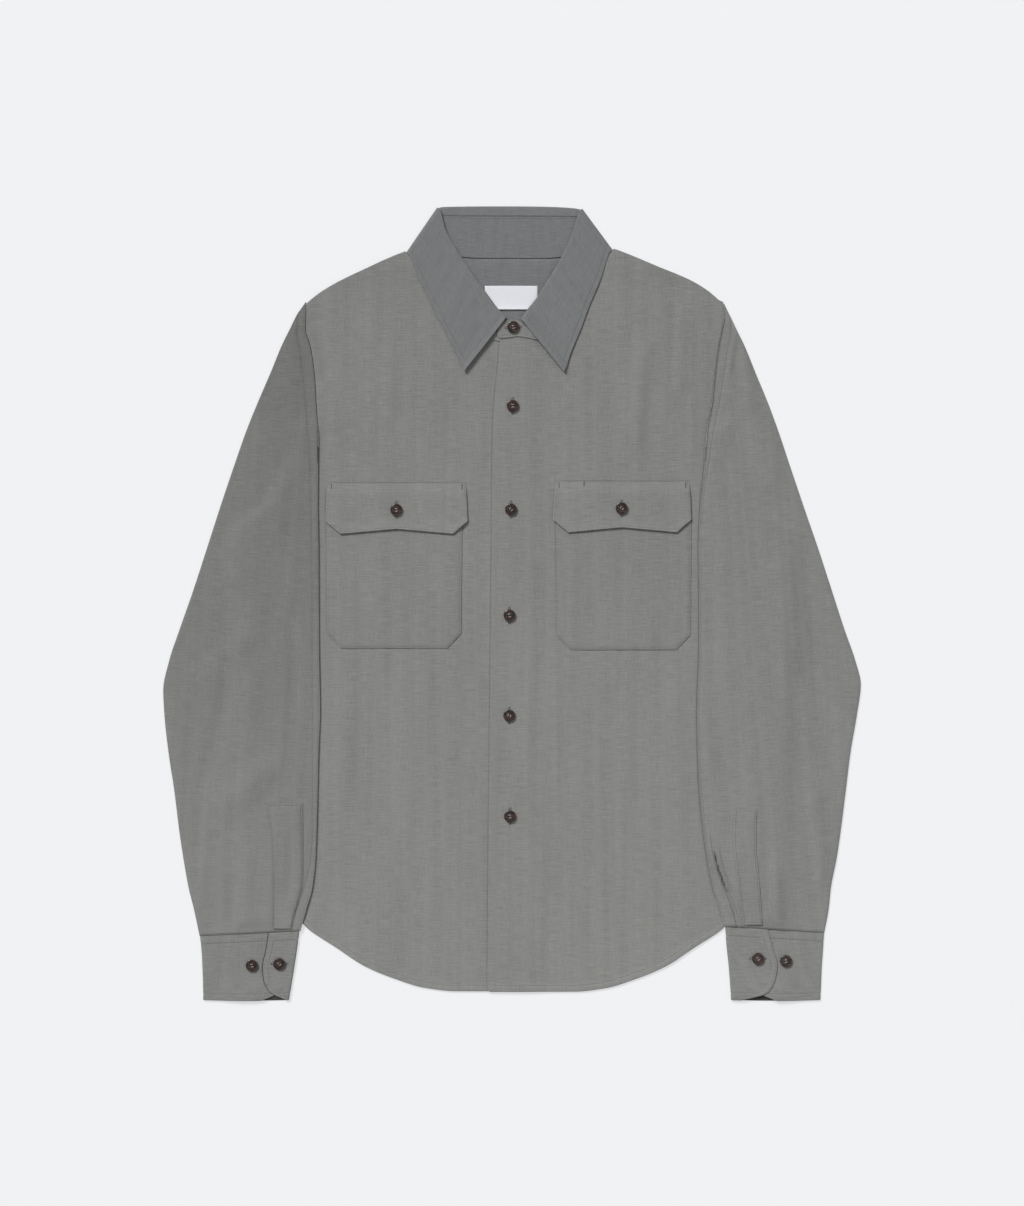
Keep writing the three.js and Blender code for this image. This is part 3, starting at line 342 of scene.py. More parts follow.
EDGE_ROUND = 0.9
EDGE_TURN = 0.36
EDGE_RINGS = (0.12, 0.35, 0.7, 1.1)
TRIANGLE_ROW = 0.87


def rounded(distance, wall):
    """How far each face of a wall turns in towards its middle near an edge."""
    near = np.clip(distance / EDGE_ROUND, 0, 1)
    return wall * EDGE_TURN * (1 - np.sqrt(1 - (1 - near) ** 2))


def turned_round(faces, shift):
    """Faces for the other side of a wall, whose points lie shift further on."""
    return [tuple(i + shift for i in face[::-1]) for face in faces]


def cloth_panel(name, outline, spacing, top, material, lines=(), wall=CLOTH, pressed=None):
    """A flat-cut piece of cloth as a closed shell with rounded edges, its upper face at top(x, y).
    lines are more lines in the plan that need points along them, such as rows of stitches, and
    pressed(x, y) is how much thinner the cloth is pressed where it is sewn down."""
    if area_of(outline) < 0:
        outline = outline[::-1]
    border = evened(outline, spacing, True)
    plan = [np.array(border)]
    for ring in EDGE_RINGS:
        plan.append(np.array(evened(beside(outline, ring, True), spacing, True)))
    for line in lines:
        plan.append(np.array(evened(line, spacing, False)))
    low, high = np.min(border, 0), np.max(border, 0)
    columns = np.arange(low[0], high[0], spacing)
    rows = np.arange(low[1], high[1], spacing * TRIANGLE_ROW)
    x, y = np.meshgrid(columns, rows)
    x = x + spacing / 2 * (np.arange(len(rows)) % 2)[:, None]
    plan.append(np.stack((x.ravel(), y.ravel()), 1))
    kept = [plan[0]]
    for i, points in enumerate(plan[1:]):
        clear = (*EDGE_RINGS, *[EDGE_RINGS[-1]] * len(lines), EDGE_RINGS[-1] + spacing / 2)[i]
        far = distance_to(outline, points[:, 0], points[:, 1], True) > clear - 0.03
        points = points[far & inside(outline, points[:, 0], points[:, 1])]
        if i == len(plan) - 2 and lines:
            gaps = [distance_to(line, points[:, 0], points[:, 1]) for line in lines]
            points = points[np.min(gaps, 0) > spacing / 3]
        kept.append(points)
    plan = [Vector(p) for p in np.concatenate(kept)]
    made = delaunay_2d_cdt(plan, [], [list(range(len(border)))], 1, 1e-4)
    points = np.array([tuple(p) for p in made[0]])
    x, y = points[:, 0], points[:, 1]
    faces = [tuple(f) for f in made[2]]
    a, b, c = (points[[f[k] for f in faces]] for k in range(3))
    turned = (b[:, 0] - a[:, 0]) * (c[:, 1] - a[:, 1]) < (b[:, 1] - a[:, 1]) * (c[:, 0] - a[:, 0])
    faces = [f[::-1] if t else f for f, t in zip(faces, turned)]
    loss = rounded(distance_to(outline, x, y, True), wall)
    upper = np.broadcast_to(top(x, y), x.shape)
    lower = upper - wall + loss + (0 if pressed is None else pressed(x, y))
    count = len(points)
    shell = np.concatenate((np.stack((x, y, upper - loss), 1), np.stack((x, y, lower), 1)))
    used = dict.fromkeys((f[k], f[(k + 1) % 3]) for f in faces for k in range(3))
    rim = [(q, p, p + count, q + count) for p, q in used if (q, p) not in used]
    return object_of(name, shell, faces + turned_round(faces, count) + rim, material)


def laid(piece, node, flat, area, rests_on, with_pieces=()):
    """Hides the node that a piece of cloth replaces, and puts the piece on the body."""
    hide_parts(node)
    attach(piece, "root")


def panel_flat(outline):
    """A panel's width and length in its cut, and the area inside its outline."""
    points = np.array(outline)
    return tuple(np.ptp(points, axis=0)), abs(area_of(outline))


# Cloth: a plain weave of fine grey yarns, with slubs in both directions and a dry, slightly
# brushed face. The same group makes every piece of it, turned to the piece's own grain, and
# adds painted light that makes a piece lighter towards the hem.
def feed(tree, socket, value):
    """Gives a socket its value, or links it to another node's output."""
    if isinstance(value, bpy.types.NodeSocket):
        tree.links.new(value, socket)
    else:
        socket.default_value = value


def new_node(tree, kind, **values):
    """A shader node with its settings and what its sockets are fed."""
    made = tree.nodes.new(kind)
    for name, value in values.items():
        if hasattr(made, name):
            setattr(made, name, value)
        else:
            feed(tree, made.inputs[name], value)
    return made


def sums(tree, operation, *values):
    """A Math node of two or three values, each a socket or a number."""
    made = new_node(tree, "ShaderNodeMath", operation=operation)
    for socket, value in zip(made.inputs, values):
        feed(tree, socket, value)
    return made.outputs[0]


def blended(tree, share, dark, light):
    """A colour between a dark and a light one, each a socket or a colour."""
    blend = new_node(tree, "ShaderNodeMix", data_type="RGBA", clamp_factor=True, Factor=share)
    feed(tree, blend.inputs[6], dark)
    feed(tree, blend.inputs[7], light)
    return blend.outputs[2]


YARN = 0.56
YARN_CONTRAST = 0.12
YARN_WANDER = 0.9
YARN_WANDER_SIZE = (7, 7)

# The weave's unevenness: the size of its grains in x and y, their detail and their strength,
# along the weft, along the warp, from yarn to yarn, in bands of warp and over the whole cloth
SLUBS = (
    ((17, 0.8), 1.0, 0.62),
    ((0.8, 13), 1.0, 0.34),
    ((1.4, 1.1), 2.0, 0.62),
    ((10, 260), 2.0, 0.28),
    ((60, 140), 2.0, 0.18),
)
WEAVE_SOCKETS = (
    ("INPUT", "Place", "Vector"), ("INPUT", "Dark", "Color"), ("INPUT", "Light", "Color"),
    ("INPUT", "Fade", "Float"), ("OUTPUT", "Color", "Color"), ("OUTPUT", "Height", "Float"),
    ("OUTPUT", "Roughness", "Float"),
)
weave = bpy.data.node_groups.new("weave", "ShaderNodeTree")
for way, name, kind in WEAVE_SOCKETS:
    weave.interface.new_socket(name, in_out=way, socket_type="NodeSocket" + kind)


def stretched_noise(tree, place, size, detail):
    """Noise from 0 to 1 whose grains are size = (x, y) millimetres."""
    scale = (1 / (size[0] * MM), 1 / (size[1] * MM), 1)
    spread = new_node(tree, "ShaderNodeMapping", Scale=scale, Vector=place).outputs["Vector"]
    grain = new_node(tree, "ShaderNodeTexNoise", Scale=1.0, Detail=detail, Roughness=0.6, Vector=spread)
    return grain.outputs["Fac"]


def relief(tree, shader, height, strength, depth):
    """Gives a surface a fine relief, whose depth is in millimetres."""
    bump = new_node(tree, "ShaderNodeBump", Strength=strength, Distance=depth * MM, Height=height)
    tree.links.new(bump.outputs["Normal"], shader.inputs["Normal"])


def build_weave(tree):
    """Fills the weave group: two sets of yarns, slubs along each, a soft mottle, and painted light towards
    the hem.
    """
    inputs = tree.nodes.new("NodeGroupInput").outputs
    outputs = tree.nodes.new("NodeGroupOutput").inputs
    place = inputs["Place"]
    parts = new_node(tree, "ShaderNodeSeparateXYZ", Vector=place).outputs
    wander = sums(tree, "MULTIPLY", stretched_noise(tree, place, YARN_WANDER_SIZE, 1.0), YARN_WANDER * MM)
    yarns = []
    for way in ("X", "Y"):
        turn = sums(tree, "MULTIPLY", sums(tree, "ADD", parts[way], wander), math.pi / (YARN * MM))
        yarns.append(sums(tree, "SINE", turn))
    crossing = sums(tree, "MULTIPLY", *yarns)
    slubs = 0.0
    for size, detail, weight in SLUBS:
        grain = sums(tree, "SUBTRACT", stretched_noise(tree, place, size, detail), 0.5)
        slubs = sums(tree, "ADD", sums(tree, "MULTIPLY", grain, weight), slubs)
    tone = sums(tree, "ADD", slubs, 0.5)
    tone = sums(tree, "ADD", tone, sums(tree, "MULTIPLY", crossing, YARN_CONTRAST))
    # Painted light: the cloth is made lighter towards the hem, the lower it lies on the shirt.
    tone = sums(tree, "SUBTRACT", tone, sums(tree, "MULTIPLY", inputs["Fade"], parts["Y"]))
    height = sums(tree, "ADD", sums(tree, "MULTIPLY", crossing, 0.5), sums(tree, "MULTIPLY", slubs, 0.8))
    feed(tree, outputs["Color"], blended(tree, tone, inputs["Dark"], inputs["Light"]))
    feed(tree, outputs["Height"], height)
    feed(tree, outputs["Roughness"], sums(tree, "MULTIPLY_ADD", tone, -0.12, 0.95))


build_weave(weave)

CLOTH_DARK = (0.125, 0.1255, 0.121)
CLOTH_LIGHT = (0.316, 0.314, 0.301)


def cloth_material(name, turn=0, on_uv=False, shade=1.0, cool=0.0, painted_hem_light=0.16):
    """The shirt's cloth. turn is the grain's angle on the plan in degrees, shade how light it is,
    cool how much bluer it is than the body. The last argument paints it lighter towards the hem,
    as painted light. on_uv follows the piece's own UV map."""
    material, tree, shader = new_material(
        name, Specular_IOR_Level=0.25, Sheen_Weight=0.22, Sheen_Roughness=0.45,
        Sheen_Tint=(0.9, 0.92, 0.95, 1),
    )
    if on_uv:
        place = new_node(tree, "ShaderNodeUVMap", uv_map="cloth").outputs["UV"]
    else:
        place = tree.nodes.new("ShaderNodeTexCoord").outputs["Object"]
        angle = (0, 0, math.radians(turn))
        place = new_node(tree, "ShaderNodeMapping", Rotation=angle, Vector=place).outputs["Vector"]
    tint = (1 - cool, 1 - cool * 0.4, 1 + cool)
    dark, light = (
        (*[c * shade * t for c, t in zip(colour, tint)], 1) for colour in (CLOTH_DARK, CLOTH_LIGHT)
    )
    # Painted light: pieces on the plan are painted lighter towards the hem; those on their own UV map are
    # not.
    yarns = new_node(
        tree, "ShaderNodeGroup", node_tree=weave, Place=place, Dark=dark, Light=light,
        Fade=0 if on_uv else painted_hem_light,
    ).outputs
    relief(tree, shader, yarns["Height"], 0.35, 0.12)
    tree.links.new(yarns["Color"], shader.inputs["Base Color"])
    tree.links.new(yarns["Roughness"], shader.inputs["Roughness"])
    return material


body_cloth = cloth_material("body_cloth")

back_outline = [
    *side_points(-1, YOKE_SEAM_Y - GAP),
    *hem_points(-BODY_HALF, BODY_HALF, BACK_HEM_RISE),
    *side_points(1, YOKE_SEAM_Y - GAP)[::-1],
]
back = cloth_panel("back_cloth", back_outline, 7, lambda x, y: CLOTH, body_cloth)
laid(back, "back", *panel_flat(back_outline), ())


# Yoke
# One piece across the shoulders, from the back seam to the neck seam and out to the armholes.
# Its inside shows in the neck, below the collar stand, and carries the label.
NECK_SEAM_Y = 345
NECK_SEAM_HALF = 50
NECK_INSET = 0.4
NECK_TURN = (0.6, 0.5)
SHOULDER_NEAR = 2.4
SHOULDER_START = 6
YOKE_LIFT_FROM = 318
YOKE_LIFT_FULL = 338

# The shoulder line, by distance from the middle of the shirt
SHOULDER = (
    ("reach", "right", "left"),
    (103, 354, 355),
    (122, 346.5, 347.5),
    (148, 334.5, 336.5),
    (167, 325.5, 329),
    (182, 317.5, 322),
    (197, 307.5, 312.5),
    (209, 297, 302),
)

# The collar leaf, from the wearer's right point round the neck to the left point. Each row runs
# from the roll line to the outer edge. turn is -90 under the neck, 90 on top, between them the
# side folds. neck is how far down the row the stand's lower seam lies.
COLLAR = (
    ("rollX", "rollY", "edgeX", "edgeY", "turn", "neck"),
    (-5.5, 286, -48.2, 231.5, 90, 27),
    (-14, 295, -50.5, 239, 90, 33),
    (-27, 312.5, -57, 252, 90, 37),
    (-38.5, 328.5, -67, 272, 90, 40),
    (-52, 349, -79, 296.5, 90, 43),
    (-66, 374, -91.5, 322, 90, 45),
    (-71.5, 393.5, -103, 348.5, 90, 45.5),
    (-72.2, 394.6, -103.8, 349.4, 50, 46),
    (-72.2, 394.8, -103.8, 349.6, 0, 46),
    (-72.2, 395, -103.6, 349.8, -50, 46),
    (-71, 396.6, -102, 350, -90, 46),
    (-50, 397.2, -66, 344, -90, 50.6),
    (-25, 397.4, -31, 341.5, -90, 52.3),
    (0, 397.4, 0, 341, -90, 52.1),
    (25, 397.2, 31, 341.5, -90, 52.1),
    (48, 396.5, 66, 345, -90, 50.6),
    (66.9, 394.6, 97.4, 353.2, -90, 46),
    (67.7, 393.6, 98.4, 352.6, -50, 46),
    (67.7, 393.4, 98.6, 352.4, 0, 46),
    (67.7, 393.2, 98.6, 352.2, 50, 46),
    (67, 392, 97.8, 351.2, 90, 45.5),
    (60, 370, 88.5, 324, 90, 45),
    (47.5, 343, 77.5, 297.5, 90, 43),
    (34.5, 321.5, 68, 272, 90, 40),
    (24.5, 305.5, 59.5, 252, 90, 37),
    (15, 293.5, 54.5, 237, 90, 33),
    (8.8, 284.5, 52.4, 231, 90, 27),
)


def on_row(row, distance):
    """The point on a collar row at a distance from its roll line."""
    run = np.array([row[2] - row[0], row[3] - row[1]])
    return np.array(row[:2]) + run / np.hypot(*run) * distance


def shoulder_points(side):
    """The shoulder from the neckline, inside the collar's side fold, out to the sleeve."""
    row = next(r for r in COLLAR[1:] if r[4] == 0 and r[0] * side > 0)
    length = math.hypot(row[2] - row[0], row[3] - row[1])
    neck, end = on_row(row, row[5] + 2 * GAP), on_row(row, length + 3 * GAP)
    corner = abs(end[0])
    last = column(SLEEVES[side], "edge")[0] - GAP
    reaches = np.linspace(corner + SHOULDER_START, last, 24)
    ys = along(SHOULDER, "reach", NAMES[side], reaches) - GAP
    inset = np.array([side * NECK_INSET, NECK_INSET])
    turned = (side * (corner - NECK_TURN[0]), end[1] + NECK_TURN[1])
    near = corner + SHOULDER_NEAR
    near_y = float(along(SHOULDER, "reach", NAMES[side], near)) - GAP
    start = [tuple(neck - inset), tuple(end - inset), turned, (side * near, near_y)]
    return start + pairs(side * reaches, ys)


def yoke_low(x, y):
    """The yoke's lower face: it climbs over the collar's fall at the neck."""
    return PLY * np.clip((y - YOKE_LIFT_FROM) / (YOKE_LIFT_FULL - YOKE_LIFT_FROM), 0, 1)


def yoke_side(side):
    """The yoke's edge on one side, from the neck along the shoulder and down the armhole."""
    start = column(SLEEVES[side], "y")[0] - ARMHOLE_START
    ys = np.linspace(start, YOKE_SEAM_Y, 8)
    return shoulder_points(side) + pairs(side_x(side, ys), ys)


yoke_outline = [
    (-NECK_SEAM_HALF, NECK_SEAM_Y - GAP),
    *yoke_side(-1),
    *yoke_side(1)[::-1],
    (NECK_SEAM_HALF, NECK_SEAM_Y - GAP),
]
yoke = cloth_panel(
    "yoke_cloth", yoke_outline, 4, lambda x, y: yoke_low(x, y) + CLOTH,
    cloth_material("yoke_cloth", shade=0.85, cool=0.045),
)
laid(yoke, "yoke", *panel_flat(yoke_outline), ())


# Fronts
# Two pieces buttoned over each other with a plain folded front edge, each with a narrow turned
# hem. The left one laps over the right one.
UNDER_FRONT_EDGE_X = 16
OVERLAP_RAMP = 16
FRONT_LOW = PLY
FRONT_TUCK = 12
ARMHOLE_TOP_Y = 292
ARMHOLE_DIP = 0.8
FRONT_NECK_Y = 261
FRONT_HEM_Y = -387
HEM_STITCH = 6
HEM_TURN_IN = 0.5
HEM_PULL = 0.6
GROOVE_HALF = 0.55
GROOVE_DEPTH = 0.22
SEAM_PULL = 0.36
PUCKER_SIZE = 5.5
PUCKER_HIGH = 0.16
UNDERARM_PULL = 0.4
UNDERARM_REACH = 6
ARMHOLE_REACH = 8
SEAM_SIDES = (-1.5, -0.9, -0.4, 0, 0.4, 0.9, 1.5)

# The visible edge of the lapping front
FRONT_EDGE = (
    ("y", "x"),
    (262, -12), (224, -15.2), (201, -18), (155, -19.4), (-10, -20.8), (-136, -22.3),
    (-276, -23.7), (-400, -24.8),
)

# The lapping front's top, tucked under the collar stand's lapping end
NECK_TUCK = ((-11.8, 264.9), (-5, 266), (6, 267.2), (16, 266), (26, 264.2))

# Soft ridges and troughs: the line they run along, half their width, their height, and how far
# the crest leans to the right of that line, as a share of the half width
FRONT_CREASES = (
    ("fromX", "fromY", "toX", "toY", "half", "high", "lean"),
    (-134, 40, -136, -250, 15.5, -1.7, -0.68),
    (-156, 380, -156, 140, 59, 2.4, 0.97),
    (116, 360, 116, 0, 76, 1.7, 0.21),
    (176, 312, 174, 205, 14, 1.7, 0.43),
    (-124, 176, -120, 118, 4, -0.8, 0),
    (-203, 300, -177, 212, 12, -1.7, 0),
    (-160, 296, -105, 190, 24, 1.4, 0.1),
    (-190, 236, -187, 122, 6, 0.5, 0),
    (-178, 220, -180, 130, 5, 0.4, 0),
    (-60, 150, -52, -330, 36, 0.8, 0.2),
    (-172, -66, -176, -318, 26, 0.9, -0.1),
    (-88, -60, -84, -372, 16, 0.5, 0.2),
    (104, 66, 100, -368, 16, -1.6, -0.25),
    (129, 278, 116, 136, 18, 2.0, -0.3),
    (178, 216, 182, 128, 7, 0.5, 0),
    (66, 230, 48, -330, 30, 0.8, -0.1),
    (160, -58, 167, -322, 24, 0.9, 0.2),
    (138, 20, 140, -350, 12, 0.5, -0.2),
)
RIPPLES = ((46, 0.32), (17, 0.12), (7, 0.035))


def creases(table, x, y):
    """The height of soft creases at points: each fades at its ends."""
    height = np.zeros(np.shape(x))
    for ax, ay, bx, by, half, high, lean in table[1:]:
        length = math.hypot(bx - ax, by - ay)
        rx, ry = (bx - ax) / length, (by - ay) / length
        t = ((x - ax) * rx + (y - ay) * ry) / length
        off = ((x - ax) * ry - (y - ay) * rx) / half - lean
        off = np.abs(off) / np.where(off > 0, 1 - lean, 1 + lean)
        ends = soft(np.minimum(t, 1 - t) * 4)
        height = height + high * ends * (1 - soft(off))
    return height


def ripples(x, y):
    """The small unevenness of pressed cloth."""
    x, y = np.broadcast_arrays(x, y)
    shape = x.shape
    places = list(zip(np.ravel(x), np.ravel(y)))
    height = np.zeros(len(places))
    for size, high in RIPPLES:
        grain = [noise.noise(Vector((px / size, py / size, size))) for px, py in places]
        height += high * np.array(grain)
    return height.reshape(shape)


def front_low(side, x, y):
    """A front's lower face. The left one climbs over the right one at the buttons."""
    x, y = np.asarray(x, float), np.asarray(y, float)
    lap = np.clip((UNDER_FRONT_EDGE_X + OVERLAP_RAMP + 2 - x) / OVERLAP_RAMP, 0, 1) * (side > 0)
    inward = (along(SLEEVES[side], "y", "edge", y) - np.abs(x)) / FRONT_TUCK
    free = np.maximum(soft(inward), soft((y - UNDERARM_Y + 5) / 30))
    air = np.maximum(creases(FRONT_CREASES, x, y) * free + ripples(x, y), -0.2)
    return FRONT_LOW + yoke_low(x, y) + lap * PLY + air


def neckline(side):
    """The neckline of a front, a gap below the collar stand's lower seam."""
    rows = [r for r in COLLAR[1:] if r[4] == 90 and r[0] * side > 0 and r[5] > 27]
    points = [tuple(on_row(r, r[5] + 2 * GAP)) for r in rows]
    return sorted(points, key=lambda p: -p[1])


def front_outline(side):
    """A front's outline: neck, shoulder, armhole, side, hem and front edge."""
    top = column(SLEEVES[side], "y")[0] - ARMHOLE_START
    outer = neckline(side)[::-1] + shoulder_points(side) + side_points(side, top)
    if side < 0:
        edge = UNDER_FRONT_EDGE_X
        return [(edge, FRONT_NECK_Y - 1), *outer, *hem_points(-BODY_HALF, edge, 0.5)]
    ys = np.linspace(FRONT_HEM_Y, FRONT_NECK_Y, 60)
    last = float(along(FRONT_EDGE, "y", "x", FRONT_HEM_Y))
    edge = pairs(along(FRONT_EDGE, "y", "x", ys), ys)
    return [*outer, *hem_points(BODY_HALF, last + 0.1, 0)[:-1], *edge, *NECK_TUCK]


def bell(distance, high, wide):
    """The height of a soft ridge, by the distance from its crest."""
    return high * np.exp(-((distance / wide) ** 2))


def groove(distance, at, deep=GROOVE_DEPTH):
    """How far a row of stitches pulls the cloth down, at a distance from the piece's edge."""
    return bell(distance - at, deep, GROOVE_HALF)


def pucker(x, y, distance, reach=9):
    """The small waves beside a row of stitches."""
    places = zip(np.ravel(x) / PUCKER_SIZE, np.ravel(y) / PUCKER_SIZE)
    grain = [noise.noise(Vector((px, py, 2))) for px, py in places]
    return PUCKER_HIGH * np.array(grain).reshape(np.shape(x)) * np.exp(-np.abs(distance) / reach * 2)


# The pockets and flaps, which are sewn to the fronts
POCKET_CHAMFER = 15
FLAP_DEPTH = 51
FLAP_SLANT = 13
FLAP_NOTCH = 5
POCKET_TOP_BELOW_FLAP = 13
POCKETS = {
    -1: {
        "flap": {"left": -184.5, "right": -46, "top": 120.5, "button": -115.5},
        "pocket": {"left": -186, "right": -49.6, "bottom": -45},
    },
    1: {
        "flap": {"left": 43, "right": 177.5, "top": 122, "button": 109.5},
        "pocket": {"left": 43.4, "right": 179.6, "bottom": -46.5},
    },
}


def pocket_outline(pocket, top):
    """A pocket's outline from its top left corner down, round and up."""
    left, right, bottom = pocket["left"], pocket["right"], pocket["bottom"]
    return [
        (left, top),
        (left + 1, bottom + POCKET_CHAMFER),
        (left + POCKET_CHAMFER, bottom),
        (right - POCKET_CHAMFER, bottom),
        (right - 1, bottom + POCKET_CHAMFER),
        (right, top),
    ]


def flap_outline(flap):
    """A flap's outline from its top left corner down, round and up."""
    left, right, top = flap["left"], flap["right"], flap["top"]
    bottom = top - FLAP_DEPTH
    return [
        (left, top),
        (left - 2.5, bottom + FLAP_SLANT),
        (left + FLAP_SLANT, bottom),
        ((left + right) / 2, bottom + FLAP_NOTCH),
        (right - FLAP_SLANT, bottom),
        (right + 2, bottom + FLAP_SLANT),
        (right, top),
    ]


def line_by_sleeve(side, ys):
    """The line along which a front meets its sleeve."""
    return pairs(side * (along(SLEEVES[side], "y", "edge", ys) - GAP), ys)


def underarm_line(side):
    """Where the lower part of a front meets the sleeve that lies beside it."""
    return line_by_sleeve(side, np.linspace(UNDERARM_Y - 4, HEM_CORNER_Y + 8, 40))


def armhole_line(side):
    """Where the upper part of a front is sewn to the sleeve."""
    return line_by_sleeve(side, np.linspace(ARMHOLE_TOP_Y, UNDERARM_Y - 4, 24))


def seam_lines(side):
    """The lines along which other pieces are sewn to a front or fold over it."""
    sizes = POCKETS[side]
    pocket = pocket_outline(sizes["pocket"], sizes["flap"]["top"] - POCKET_TOP_BELOW_FLAP)
    flap = flap_outline(sizes["flap"])
    lines = [pocket, [flap[-1], flap[0]]]
    if side > 0:
        lines.append(underarm_line(side))
    if side < 0:
        ys = np.linspace(FRONT_HEM_Y + 2, FRONT_NECK_Y - 4, 30)
        lines.append(pairs(along(FRONT_EDGE, "y", "x", ys) - 0.3, ys))
    return lines


def front_top(side, x, y):
    """A front's upper face, with its hem."""
    hem = distance_to(hem_points(-BODY_HALF, BODY_HALF, 0), x, y)
    turned = HEM_TURN_IN * (1 - soft((hem - HEM_STITCH - 0.4) / 0.8))
    surface = front_low(side, x, y) + CLOTH + turned
    pulled = groove(hem, HEM_STITCH, HEM_PULL)
    for line in seam_lines(side):
        pulled = pulled + groove(distance_to(line, x, y), 0, SEAM_PULL)
    if side > 0:
        underarm = distance_to(underarm_line(side), x, y)
        pulled = pulled + groove(underarm, 0, UNDERARM_PULL) + bell(underarm, UNDERARM_PULL, UNDERARM_REACH)
        pulled = pulled + bell(distance_to(armhole_line(side), x, y), ARMHOLE_DIP, ARMHOLE_REACH)
    return surface - pulled + pucker(x, y, hem - HEM_STITCH)


# Stitches lie along a path of points, each with the direction that faces out of the cloth
STITCH_PITCH = 2.5
STITCH_LENGTH = 1.9
STITCH_WIDE = 0.42
STITCH_HIGH = 0.26


def stitches_along(path, pitch=STITCH_PITCH, length=STITCH_LENGTH, wide=STITCH_WIDE):
    """Centres, directions and sizes of the stitches along a path of points in millimetres."""
    path = np.array(path, float)
    steps = np.linalg.norm(np.diff(path, axis=0), axis=1)
    total = np.concatenate(([0], np.cumsum(steps)))
    at = np.arange(pitch / 2, total[-1], pitch)
    centre, ahead, behind = (
        np.stack([np.interp(at + on, total, path[:, k]) for k in range(3)], 1) for on in (0, 0.4, -0.4)
    )
    run = ahead - behind
    run /= np.linalg.norm(run, axis=1)[:, None]
    return [(c, r, length, wide) for c, r in zip(centre, run)]


def stitching(name, stitches, material, high=STITCH_HIGH):
    """One mesh of many stitches, each a short grain of thread sunk at its ends."""
    points, faces = [], []
    up = np.array([0.0, 0.0, 1.0])
    for centre, run, length, wide in stitches:
        across = np.cross(up, run)
        across /= np.linalg.norm(across)
        first = len(points)
        points.append(centre - run * length / 2 - up * high * 0.4)
        for share in (-0.27, 0.27):
            middle = centre + run * length * share
            points += [
                middle - across * wide / 2,
                middle - up * high / 2,
                middle + across * wide / 2,
                middle + up * high / 2,
            ]
        points.append(centre + run * length / 2 - up * high * 0.4)
        last = first + 9
        for k in range(4):
            a, b = first + 1 + k, first + 1 + (k + 1) % 4
            faces += [(first, b, a), (a, b, b + 4, a + 4), (a + 4, b + 4, last)]
    made = object_of(name, np.array(points), faces, material)
    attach(made, "root")
    return made


def object_noise(tree, size, detail):
    """Noise from 0 to 1 that is fixed to the piece, with grains of size = (x, y) millimetres."""
    place = tree.nodes.new("ShaderNodeTexCoord").outputs["Object"]
    return stretched_noise(tree, place, size, detail)


def thread_material(name, colour):
    """Sewing thread: its colour broken up by its twist."""
    material, tree, shader = new_material(name, Roughness=0.6, Sheen_Weight=0.2)
    twist = object_noise(tree, (0.5, 0.5), 2.0)
    dark, light = ((*[c * share for c in colour], 1) for share in (0.75, 1.25))
    feed(tree, shader.inputs["Base Color"], blended(tree, twist, dark, light))
    return material


grey_thread = thread_material("grey_thread", (0.105, 0.107, 0.110))


def sewn_down(piece, node, flat, area, rests_on, rows, part=""):
    """Lays a piece of cloth together with its rows of stitches, which are one mesh of thread."""
    stitched = stitching(node + part + "_stitches", rows, grey_thread)
    laid(piece, node, flat, area, rests_on, [stitched])


def on_top(line, top, lift=0.02, step=1.2):
    """A line in the plan laid on a surface, as points of a stitch path."""
    points = np.array(evened(line, step, False))
    return np.column_stack((points, top(points[:, 0], points[:, 1]) + lift))


fronts = {}
for side in (-1, 1):
    name = "front_" + NAMES[side]
    outline = front_outline(side)

    def top(x, y, side=side):
        return front_top(side, x, y)

    near, far = (UNDER_FRONT_EDGE_X, -BODY_HALF) if side < 0 else (-23.5, BODY_HALF)
    hem = hem_points(near, far, 0)
    inward = 1 if side > 0 else -1
    hem_lines = [beside(hem, inward * (HEM_STITCH + d)) for d in (-1.2, -0.5, 0, 0.5, 1.2)]
    pulled_lines = [beside(line, d) for line in seam_lines(side) for d in SEAM_SIDES]
    fronts[side] = cloth_panel(name + "_cloth", outline, 3.1, top, body_cloth, hem_lines + pulled_lines)
    rows = stitches_along(on_top(hem_lines[2][1:-1], top))
    sewn_down(fronts[side], name, *panel_flat(outline), ("back_cloth",), rows, "_hem")


# Pockets and flaps
# Two patch pockets with clipped lower corners, each under a pointed flap. Both are turned under
# and edge-stitched to the front, and the flap is sewn along its top and tacked at its corners.
POCKET_STITCH = 1.8
FLAP_STITCH = 1.8
SEATED = 0.85
SEAT_FADE = 1.6
SEAT_BELOW = 0.8
FLAP_CURL = 1.7
CURL_FADE = 5
CURL_FROM = 32
FLAP_SIDE_DIP = 0.55
SIDE_DIP_TO = 44
TACK_LENGTH = 5
FLAP_BUTTON_DROP = 27


def flap_low(side, top, x, y):
    """A flap's lower face: on the front at its seam, and over the pocket below it."""
    over = np.clip((top - 3 - y) / (POCKET_TOP_BELOW_FLAP - 5), 0, 1)
    return front_low(side, x, y) + PLY + over * PLY


def edge_lines(outline, at):
    """Lines along the sewn edge of a pocket or flap, beside its row of stitches."""
    return [beside(outline, at + d) for d in (-0.6, 0, 0.6, 1.3)]


def seat_of(line):
    """How much thinner a piece is pressed beside the line along which it is sewn down."""
    return lambda x, y: SEATED * SEAT_BELOW * np.exp(-distance_to(line, x, y) / SEAT_FADE)


